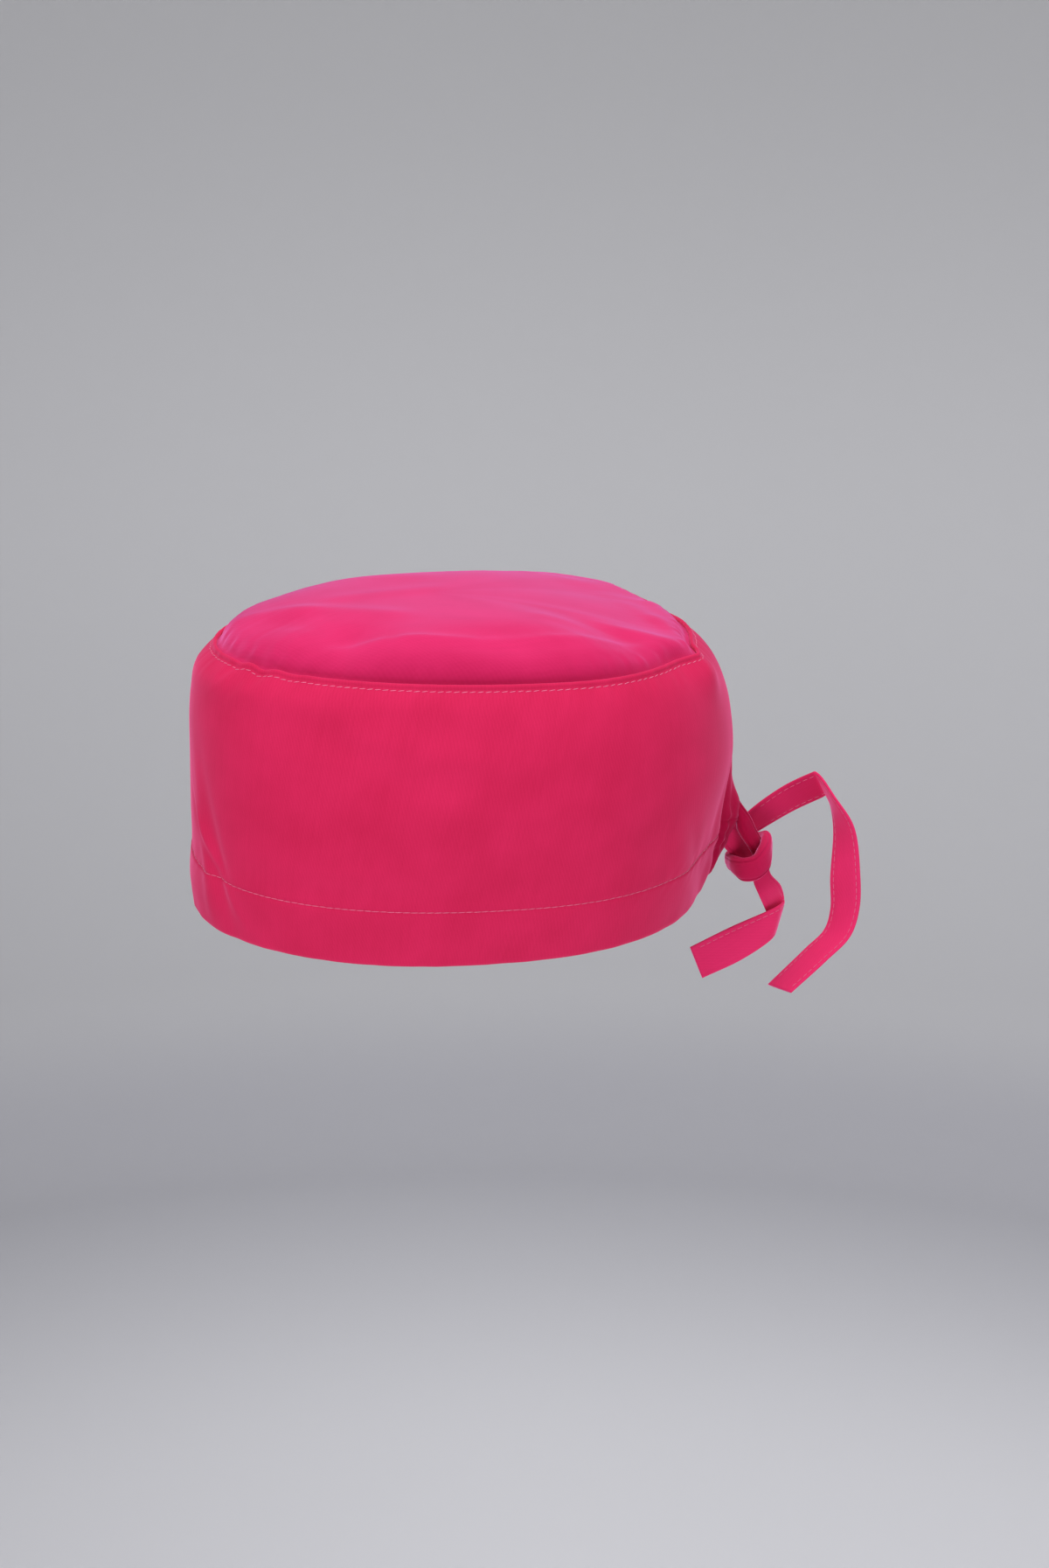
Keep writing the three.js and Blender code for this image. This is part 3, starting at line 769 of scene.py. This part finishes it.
TIE_FAR = table(
    TIE_COLUMNS,
    (0, 109, 33, 0, 109, 26, 2.2, 0.4),
    (0.2, 115.5, 33.5, 0.2, 113, 28, 2.2, 0.3),
    (1.4, 119.5, 28.5, 2, 116.5, 22.3, 2.8, 0.8),
    (2, 122.5, 24, 3.5, 117, 18.5, 3.6, 1.1),
    (2.5, 125, 18.5, 4, 119, 14.5, 3.4, 1.1),
    (2.5, 127.5, 13.5, 4, 122, 10, 3.2, 0.9),
    (3, 129, 9, 3.5, 124, 6, 2.8, 0.6),
    (3, 131, 3.5, 3, 125, 1.5, 2.6, 0.4),
    (2, 132.5, -3, 2.5, 125, -6, 2.2, 0.2),
    (-1, 138, -10, 3, 127.5, -12.5, 1.6, 0),
    (-3, 140, -15, 0.5, 131.5, -21, 1.5, 0),
    (-1.5, 140, -17.5, 0.5, 135.5, -31, 1.5, 0),
    (2.5, 136.5, -18, 5, 133, -32.5, 1.5, 0),
    (6, 114.5, -25, 9, 119.5, -39, 1.5, 0),
    (9, 96.5, -31.5, 12, 101.5, -45, 1.5, 0),
)
STEPS_PER_ROW = 16
TANGENT_STEP = 0.002


def smooth_route(points, share):
    """Centripetal Catmull-Rom curve through the points, at shares of the whole from 0 to 1."""
    line = np.vstack([2 * points[0] - points[1], points, 2 * points[-1] - points[-2]])
    place = share * (len(points) - 1)
    row = np.minimum(place.astype(int), len(points) - 2)
    part = (place - row)[:, None]
    p0, p1, p2, p3 = (line[row + i] for i in range(4))
    d0, d1, d2 = (np.linalg.norm(b - a, axis=1, keepdims=True) ** 0.5
                  for a, b in ((p0, p1), (p1, p2), (p2, p3)))
    leave = ((p1 - p0) / d0 - (p2 - p0) / (d0 + d1) + (p2 - p1) / d1) * d1
    arrive = ((p2 - p1) / d1 - (p3 - p1) / (d1 + d2) + (p3 - p2) / d2) * d1
    curve = 2 * p1 - 2 * p2 + leave + arrive
    bow = -3 * p1 + 3 * p2 - 2 * leave - arrive
    return p1 + leave * part + bow * part ** 2 + curve * part ** 3


def tie_frames(rows):
    """Middle, half width, face direction, fullness and distance run at each step of a tie."""
    steps = (len(rows["ax"]) - 1) * STEPS_PER_ROW
    share = np.linspace(0, 1, steps + 1)
    edges = [np.stack([rows[side + axis] for axis in "xyz"], -1) for side in "ab"]
    a, b = (smooth_route(edge, share) for edge in edges)
    ahead, behind = np.minimum(share + TANGENT_STEP, 1), np.maximum(share - TANGENT_STEP, 0)
    along = sum(smooth_route(edge, ahead) - smooth_route(edge, behind) for edge in edges)
    at_row = share * (len(rows["ax"]) - 1)
    thick, puff = (np.interp(at_row, np.arange(len(rows["ax"])), rows[key]) for key in ("thick", "puff"))
    middle = (a + b) / 2
    return {"middle": middle, "across": (a - b) / 2, "face": unit(np.cross(along, a - b)),
            "thick": thick, "puff": puff, "run": distance_along(middle)}


routes = {"tie_near": tie_frames(TIE_NEAR), "tie_far": tie_frames(TIE_FAR)}
for name, route in routes.items():
    print(name, "runs", round(route["run"][-1]), "mm from the hem end to its free end")

# %% The ribbon and its place
EDGE_POWER = 9
STITCH_LINE = 0.74
STITCH_DENT = 0.28
FACE_ACROSS = np.array([-0.97, -0.91, -0.82, -STITCH_LINE, -0.66, -0.5, -0.25, 0])
FACE_ACROSS = np.concatenate([FACE_ACROSS, -FACE_ACROSS[-2::-1]])
TIE_WIDTH = 14.5
BACK_PATCH = 40
ROPE_WAVE = 0.18
PATH_STEP = 4

# The puff at which a tie's painted shade is full, the row where it leaves the knot, and the painted shade
# there
FULL_SHADE_PUFF = {"tie_near": 1.5, "tie_far": 0.6}
LEAVING_ROW = {"tie_near": 20.6, "tie_far": 8.5}
LEAVING_SHADE = {"tie_near": 0.55, "tie_far": 0.2}
LEAVING_REACH = 1.1


def tie_section():
    """Across and deep, each from -1 to 1, round a flat ribbon with soft edges and stitched dents."""
    swell = (1 - np.abs(FACE_ACROSS) ** EDGE_POWER) ** 0.5
    dent = STITCH_DENT * bump(np.abs(FACE_ACROSS) - STITCH_LINE, 0.05)
    top = list(zip(FACE_ACROSS, swell - dent))
    return [(-1, 0)] + top + [(1, 0)] + [(a, -d) for a, d in reversed(top)] + [(-1, 0)]


def straight_ribbon(steps):
    """A straight ribbon in unit steps, closed at both ends."""
    bm = strip(steps, tie_section(), lambda share, point: (point[0], point[1], share * steps))
    for end in (0, steps):
        edges = [edge for edge in bm.edges if edge.is_boundary
                 and all(abs(vert.co.z - end) < WELD for vert in edge.verts)]
        bmesh.ops.contextual_create(bm, geom=edges)
    bmesh.ops.recalc_face_normals(bm, faces=bm.faces)
    return bm


def tie_place(route):
    """A function that sets a straight ribbon's vertices on its route."""
    def place(points):
        step = points[:, 2]
        ring = np.arange(len(route["run"]))
        middle, across, face = (vectors_at(step, ring, route[key]) for key in ("middle", "across", "face"))
        thick, puff, run = (np.interp(step, ring, route[key]) for key in ("thick", "puff", "run"))
        wave = np.sin(4.2 * points[:, 0] + run / 6) + 0.5 * np.sin(9 * points[:, 0] - run / 4)
        full = thick / 2 + puff * (1 - points[:, 0] ** 2)
        off = points[:, 1] * full + ROPE_WAVE * puff * wave * (1 - points[:, 0] ** 4)
        return middle + across * points[:, :1] + face * off[:, None]
    return place


def tie_map(route):
    """Cloth map of a straight ribbon, in millimetres, with its back face on its own patch."""
    def cloth(corners, middles):
        across = corners[:, 0] * TIE_WIDTH / 2 + BACK_PATCH * (middles[:, 1] < 0)
        return np.stack([across, np.interp(corners[:, 2], np.arange(len(route["run"])), route["run"])], -1)
    return cloth


def tie_painted_shade(name, route):
    """Painted shade on the tie, wherever it is puffed into a rope and where it leaves the knot."""
    def paint_shade(points):
        puff = np.interp(points[:, 2], np.arange(len(route["run"])), route["puff"])
        row = points[:, 2] / STEPS_PER_ROW
        leaving = LEAVING_SHADE[name] * bump(row - LEAVING_ROW[name], LEAVING_REACH)
        return np.clip(puff / FULL_SHADE_PUFF[name] + leaving, 0, 1)
    return paint_shade


for name, route in routes.items():
    ribbon = straight_ribbon(len(route["run"]) - 1)
    tie = finish_piece(name + "_ribbon", ribbon, tie_twill,
                       tie_place(route), tie_map(route), tie_painted_shade(name, route))
    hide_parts(name)
    path = [tuple(point * MM) for point in route["middle"][::PATH_STEP]]
    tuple(path[0])

# %% [markdown]
# ## The side band
# The band could be a tube with a Solidify modifier, but its hem is two layers thick and its top edge
# rolls over the seam, so its section is drawn as one closed outline instead, and a strip carries it
# round a drum. The two ends stop a hair apart at the back. Above the slit's top they are welded, and
# below it each is closed with a face. Only then is the drum pressed into the shape of a head.

# %% Section of the band
DRUM = 100
OUTER_ROWS = 88
INNER_ROWS = 40
HEM_INSIDE = 25
HEM_PROUD = 0.3
HEM_SUNK = 0.45
EDGE_ROUND = 0.6
SEAM_SUNK = 0.2
INSIDE_STEP = 0.25

# The round lip over the seam: depth, and height over the seam
LIP = ((0.12, -1.15), (0.1, -0.9), (-0.1, -0.7), (-0.38, -0.4), (-0.5, -0.05), (-0.5, 0.4),
       (-0.25, 0.75), (0.1, 0.92), (0.5, 0.9), (0.9, 0.7), (1.25, 0.3), (WALL, -0.3))


def outer_depth(z):
    """The turned hem stands proud, both rows of stitching are sunk, and the lower edge is round."""
    proud = -HEM_PROUD / (1 + np.exp((z - HEM) / 0.35))
    sunk = HEM_SUNK * bump(z - HEM, 0.7)
    rounded = EDGE_ROUND * bump(z, 0.9)
    seam_line = SEAM_SUNK * bump(z - SEAM_STITCHES, 0.8)
    return proud + sunk + rounded + seam_line


def inner_depth(z):
    """Inside, the turned edge of the hem shows as a step a little above the stitching."""
    return WALL + INSIDE_STEP / (1 + np.exp((z - HEM_INSIDE) / 0.3)) - 0.5 * bump(z, 1)


def band_section():
    """Closed outline of the band as depth and height: up the outside, over the lip, down inside."""
    up = np.sort(np.concatenate([np.linspace(0.5, SEAM - 1.45, OUTER_ROWS),
                                 HEM + np.array([-1.6, -0.9, -0.45, 0.0, 0.45, 0.9])]))
    down = np.sort(np.concatenate([np.linspace(1, SEAM - 1.6, INNER_ROWS),
                                   HEM_INSIDE + np.array([-0.5, 0.4])]))[::-1]
    bottom = [(0.85, -0.05)]
    outside = list(zip(outer_depth(up), up))
    lip = [(depth, SEAM + over) for depth, over in LIP]
    inside = list(zip(inner_depth(down), down))
    return bottom + outside + lip + inside + bottom


section = band_section()
print("band section of", len(section) - 1, "points")

# %% The drum
COLUMNS = 600
END_TURN = math.radians(0.01)
END_WELD = 0.1
BACK_DENSITY = 0.2
SLIT_TOP = 72
INSIDE_PATCH = 230
# Shade painted on the band round the knot: its middle height, its reach, and how much it is stretched
# upwards
SHADE_HEIGHT = 14
SHADE_REACH = 26
SHADE_TALL = 1.15


def drum_angle(places):
    """Angle round the drum, from the middle of the back."""
    return np.degrees(np.arctan2(places[:, 0], places[:, 1])) % 360


def cap_angle(turn):
    """Columns are crowded towards the back, where the folds are small."""
    return turn - math.degrees(BACK_DENSITY) * np.sin(np.radians(turn))


def drum_place(places):
    """From the round drum to the cap."""
    depth = DRUM - np.hypot(places[:, 0], places[:, 1])
    return band_point(cap_angle(drum_angle(places)), places[:, 2], depth)


def drum_map(corners, middles):
    """Cloth map of the drum: distance round and height, with the inner face on its own patch."""
    turn, middle = drum_angle(corners), drum_angle(middles)
    turn = turn + 360 * ((middle > 270) & (turn < 90)) - 360 * ((middle < 90) & (turn > 270))
    inside = np.hypot(middles[:, 0], middles[:, 1]) < DRUM - WALL / 2
    height = corners[:, 2]
    return np.stack([arc(cap_angle(turn)), np.where(inside, INSIDE_PATCH - height, height)], -1)


def drum_painted_shade(places):
    """Painted shade on the band, round the knot where it is gathered."""
    round_mm = arc(cap_angle(drum_angle(places)))
    from_slit = np.minimum(round_mm, GIRTH[-1] - round_mm)
    return bump(np.hypot(from_slit, (places[:, 2] - SHADE_HEIGHT) / SHADE_TALL), SHADE_REACH)


def on_drum(share, point):
    """Place on the drum of a point of the outline, at a share of the way round."""
    turn = END_TURN + share * (math.tau - 2 * END_TURN)
    radius = DRUM - point[0]
    return radius * math.sin(turn), radius * math.cos(turn), point[1]


bm = strip(COLUMNS, section, on_drum)
ends = [vert for vert in bm.verts
        if abs(math.atan2(vert.co.x, vert.co.y)) < 1.5 * END_TURN and vert.co.z > SLIT_TOP]
bmesh.ops.remove_doubles(bm, verts=ends, dist=END_WELD)
open_edges = [edge for edge in bm.edges if edge.is_boundary]
print("open edges at the slit", len(open_edges))

# %% Closing the slit's ends
top_pair = sorted({vert for edge in open_edges for vert in edge.verts if vert.co.z > SLIT_TOP},
                  key=lambda vert: vert.co.y)
closing = bmesh.ops.contextual_create(bm, geom=top_pair)["edges"]
for sign in (1, -1):
    side = [edge for edge in open_edges
            if any(sign * vert.co.x > 0 and vert.co.z <= SLIT_TOP for vert in edge.verts)]
    faces = bmesh.ops.contextual_create(bm, geom=side + closing)["faces"]
    bmesh.ops.triangulate(bm, faces=faces, ngon_method="BEAUTY")
bmesh.ops.recalc_face_normals(bm, faces=bm.faces)
print("closed:", all(not edge.is_boundary for edge in bm.edges))
print("volume", round(bm.calc_volume(signed=True)), "cubic mm, before it is pressed to shape")

band = finish_piece("side_band_cloth", bm, band_twill, drum_place, drum_map, drum_painted_shade)
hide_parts("side_band")

# %% [markdown]
# ## The top panel
# The panel is cut larger than the hole it fills, so it puffs up: it leaves the seam steeply, rolls
# over in a soft shoulder and then lies almost flat, with ripples where the extra cloth goes. It is
# a strip carried round like a lid, with a seam allowance hanging down inside the band, and then
# pressed to shape as the band was.

# %% Shape of the panel
DOME_RISE = 17
DOME_POWER_BACK = 2.2
DOME_POWER_FRONT = 5
PANEL_CENTRE_Y = -10
FULL_SIDE = (95, 35)
FULLNESS = 4
GROOVED_SIDE = (85, 50)
GROOVE_DEPTH = (0.8, 2)
# Shade painted on the panel's near rim: where it lies round the cap, and how strong it is
SHADED_RIM = (105, 55)
RIM_SHADE = 0.4
PINCH = 0.55
RIM_FADE = 0.03
RIDGE_FADE = 0.05
PANEL_TOP = -1.5
UNDER_PATCH = 250
LID_WIDE = 0.78
LID_LONG = 0.97

# Soft rolls of cloth round the rim: how high, at which share of the way out, and how wide
SHOULDERS = table("rise at wide", (1.6, 0.93, 0.055), (0.7, 0.86, 0.07))

# Long soft ridges of the panel: two ends, in millimetres, half width and rise
RIDGES = table(
    "x0 y0 x1 y1 wide rise",
    (-4, -92, 11, -63, 5, 0.8),
    (11, -63, 25, -31, 6, 0.8),
    (0, -45, -6, -13, 6, 0.5),
    (-17, 68, -14, 86, 6, 0.6),
    (-14, 84, 36, 88, 4, 0.7),
    (36, 84, 16, 78, 4, 0.9),
    (16, 78, -4, 70, 5, 0.5),
    (52, 62, 36, 30, 5, 0.5),
    (45, -54, 50, -38, 3, 1),
    (52.5, -28, 57, -4, 3, 1),
    (58, 5, 59, 30, 3, 0.9),
    (58, 40, 52.5, 62, 3.5, 0.6),
    (50, 71, 45, 81, 3.5, 0.5),
    (20, -70, 38, -50, 5, -0.5),
    (-40, -60, -30, -20, 8, 0.6),
    (-50, 40, -30, 62, 8, 0.6),
)


def panel_rise(angle, share):
    """Height of the panel over the seam, at a share of the way out from its middle."""
    frontness = (1 - np.cos(np.radians(angle))) / 2
    power = DOME_POWER_BACK + (DOME_POWER_FRONT - DOME_POWER_BACK) * frontness ** 2
    power = power + FULLNESS * close_to(angle, FULL_SIDE)
    dome = DOME_RISE * (1 - share ** power)
    ripple = sum(rise * close_to(angle, (at, wide)) for at, wide, rise in rows_of(RIPPLES))
    shoulder = sum(rise * bump(share - at, wide) for rise, at, wide in rows_of(SHOULDERS))
    pinch = PINCH * puckers(arc(angle) + 3) * bump(share - 0.965, 0.025)
    fade = np.clip((1 - share) / RIM_FADE, 0, 1)
    depth, near_depth = GROOVE_DEPTH
    groove = (depth + near_depth * close_to(angle, GROOVED_SIDE)) * bump(share - 0.988, 0.016)
    return dome + ripple * bump(share - 0.86, 0.16) * fade + (shoulder + pinch) * fade - groove


def ridge_rise(x, y):
    """Sum of the long ridges at a point of the panel."""
    total = 0 * x
    for x0, y0, x1, y1, wide, rise in rows_of(RIDGES):
        length = math.hypot(x1 - x0, y1 - y0)
        along = ((x - x0) * (x1 - x0) + (y - y0) * (y1 - y0)) / length
        away = ((x - x0) * (y1 - y0) - (y - y0) * (x1 - x0)) / length
        past = np.maximum(0, np.maximum(-along, along - length))
        total = total + rise * bump(away, wide) * bump(past, 1.6 * wide)
    return total


def panel_place(places):
    """From the flat lid, with its edge turned down, to the puffed panel."""
    angle = drum_angle(places)
    radius, height = np.hypot(places[:, 0], places[:, 1]), places[:, 2]
    share = np.minimum(radius / DRUM, 1)
    seam_top = np.full(angle.shape, SEAM)
    edge = wall_point(angle, seam_top, seam_top * 0 + WALL + CLEARANCE, cloth_rise(angle, seam_top))
    x = edge[:, 0] * share
    y = PANEL_CENTRE_Y + (edge[:, 1] - PANEL_CENTRE_Y) * share
    inner = np.clip((1 - share) / RIDGE_FADE, 0, 1)
    rise = panel_rise(angle, share) + inner * ridge_rise(x, y) - seam_drop(angle, seam_top) * share ** 2
    top = np.stack([x, y, SEAM + rise + height], -1)
    depth = WALL + CLEARANCE + DRUM - radius
    z = np.minimum(SEAM + height, SEAM)
    flange = wall_point(angle, z, depth, cloth_rise(angle, z))
    flange[:, 2] -= seam_drop(angle, z)
    return np.where((height < PANEL_TOP)[:, None], flange, top)


def lid_painted_shade(places):
    """Painted shade on the panel over its seam allowance, on the near side."""
    share = np.hypot(places[:, 0], places[:, 1]) / DRUM
    return RIM_SHADE * bump(share - 1, 0.1) * close_to(drum_angle(places), SHADED_RIM)


def lid_map(corners, middles):
    """Cloth map of the lid, as wide and long as the panel is, with its underside on its own patch."""
    under = UNDER_PATCH * (middles[:, 2] < -0.5)
    return np.stack([corners[:, 0] * LID_WIDE + under, corners[:, 1] * LID_LONG + corners[:, 2]], -1)


# %% The lid
PANEL_COLUMNS = 420
TOP_SHARES = np.concatenate([np.linspace(0, 0.76, 26), np.linspace(0.78, 0.9, 9), np.linspace(0.91, 1, 14)])
UNDER_SHARES = np.concatenate([np.linspace(0.985, 0.8, 10), np.linspace(0.74, 0, 14)])
FLANGE_DOWN = (-3.5, -4.5, -5.5, -7, -7.5)


def lid_outline():
    """Radius and height: out over the top, down the seam allowance, and back in underneath."""
    top = [(DRUM * share, 0) for share in TOP_SHARES]
    outside = [(DRUM, down) for down in FLANGE_DOWN]
    inside = [(DRUM - PANEL_WALL, down) for down in FLANGE_DOWN[::-1]]
    under = [(DRUM * share, -PANEL_WALL) for share in UNDER_SHARES]
    return top + outside + inside + under


def on_lid(share, point):
    """Place on the lid of a point of the outline, at a share of the way round."""
    turn = math.tau * share
    radius, height = point
    return radius * math.sin(turn), radius * math.cos(turn), height


bm = strip(PANEL_COLUMNS, lid_outline(), on_lid)
bmesh.ops.recalc_face_normals(bm, faces=bm.faces)
print("lid volume", round(bm.calc_volume(signed=True)))
panel = finish_piece("top_panel_cloth", bm, panel_twill, panel_place, lid_map, lid_painted_shade)
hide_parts("top_panel")

# %% [markdown]
# ## Stitches
# A stitch shows as a short, slightly plump length of thread that sinks into the cloth at both ends.
# A dashed texture would look painted on, so each stitch is a small body, set along its row at the
# machine's stitch length. Each has only a few dozen faces, since there are hundreds of them.

# %% Sewing a row of stitches
STITCH_PITCH = 3
STITCH_LENGTH = 2.5
HEM_STITCH = 3.1
THREAD_RADIUS = 0.18
FINE_THREAD = 0.15
STITCH_LIFT = 0.02
ROW_POINTS = 1500

# Copying leaves the stitches in no fixed order, so they are sorted by place: x, then y, then z
SORTING = Vector((10000, 100, 1))


def stitch_frames(line, outward, slant, radius=THREAD_RADIUS, length=STITCH_LENGTH):
    """Middle, length, side and height of each stitch along a line, at the machine's pitch."""
    run = distance_along(line)
    at = np.arange(STITCH_PITCH / 2, run[-1] - STITCH_PITCH / 4, STITCH_PITCH)
    up = unit(vectors_at(at, run, outward))
    along = vectors_at(at + length / 2, run, line) - vectors_at(at - length / 2, run, line)
    along = unit(along + np.cross(up, along) * math.tan(math.radians(slant)))
    side = np.cross(up, along)
    middle = vectors_at(at, run, line) + up * STITCH_LIFT
    return np.stack([middle, along * length / 2, side * radius, up * radius], 1)


def sew(name, frames):
    """One object with a stitch at each frame. A single stitch is doubled until the row is full."""
    bm = bmesh.new()
    bmesh.ops.create_uvsphere(bm, u_segments=6, v_segments=5, radius=1,
                              matrix=Matrix.Rotation(math.pi / 2, 4, "Y"))
    filled = 1
    while filled < len(frames):
        copied = bmesh.ops.duplicate(bm, geom=list(bm.verts) + list(bm.edges) + list(bm.faces))["geom"]
        moved = [part for part in copied if isinstance(part, bmesh.types.BMVert)]
        bmesh.ops.translate(bm, verts=moved, vec=(STITCH_PITCH * filled, 0, 0))
        filled *= 2
    spare = [vert for vert in bm.verts if vert.co.x > STITCH_PITCH * (len(frames) - 0.5)]
    bmesh.ops.delete(bm, geom=spare, context="VERTS")
    bm.verts.sort(key=lambda vert: vert.co.dot(SORTING))
    bm.faces.sort(key=lambda face: face.calc_center_median().dot(SORTING))

    def place(points):
        number = np.round(points[:, 0] / STITCH_PITCH).astype(int)
        frame_of = frames[number]
        local = points - np.stack([number * STITCH_PITCH, 0 * number, 0 * number], -1)
        return frame_of[:, 0] + np.einsum("ni,nij->nj", local, frame_of[:, 1:])

    finish_piece(name, bm, thread, place)


def band_row(height, depth, margin):
    """A line round the band, a margin of degrees short of the slit, and its outward directions."""
    angle = np.linspace(margin, 360 - margin, ROW_POINTS)
    z = np.full(angle.shape, float(height))
    return band_point(angle, z, np.full(z.shape, depth)), plan_normal(angle, np.minimum(z, SEAM - 1))


# Each row's name, height, slant in degrees, stitch length and margin
BAND_ROWS = (
    ("seam_stitches", SEAM_STITCHES, 9, STITCH_LENGTH, 0),
    ("hem_stitches", HEM, 2, HEM_STITCH, 9),
)
for name, height, slant, length, margin in BAND_ROWS:
    line, outward = band_row(height, float(outer_depth(height)), margin)
    sew(name, stitch_frames(line, outward, slant, length=length))

# %% Stitches of the ties
TAIL_STARTS = {"tie_near": 19.4, "tie_far": 9.6}
STITCHED_EDGES = {"tie_near": (1, -1), "tie_far": (1,)}
END_MARGIN = 2.2
ON_FACE = 0.36


def tail_rows(name, route):
    """Frames of a tail's stitches: along its stitched edges and across its end, on both faces."""
    along_tail = np.arange(len(route["run"])) / STEPS_PER_ROW > TAIL_STARTS[name]
    before_end = route["run"] < route["run"][-1] - END_MARGIN
    tail, last = along_tail & before_end, np.flatnonzero(before_end)[-1]
    frames = []
    for face_sign in (1, -1):
        up = face_sign * route["face"]
        skin = route["middle"] + up * (route["thick"] * ON_FACE)[:, None]
        for edge in STITCHED_EDGES[name]:
            line = skin[tail] + route["across"][tail] * edge * STITCH_LINE
            frames.append(stitch_frames(line, up[tail], 0, FINE_THREAD))
        line = skin[last] + np.linspace(-STITCH_LINE, STITCH_LINE, 9)[:, None] * route["across"][last]
        frames.append(stitch_frames(line, np.repeat(up[last:last + 1], len(line), axis=0), 0, FINE_THREAD))
    return np.concatenate(frames)


for name, route in routes.items():
    sew(name + "_stitches", tail_rows(name, route))
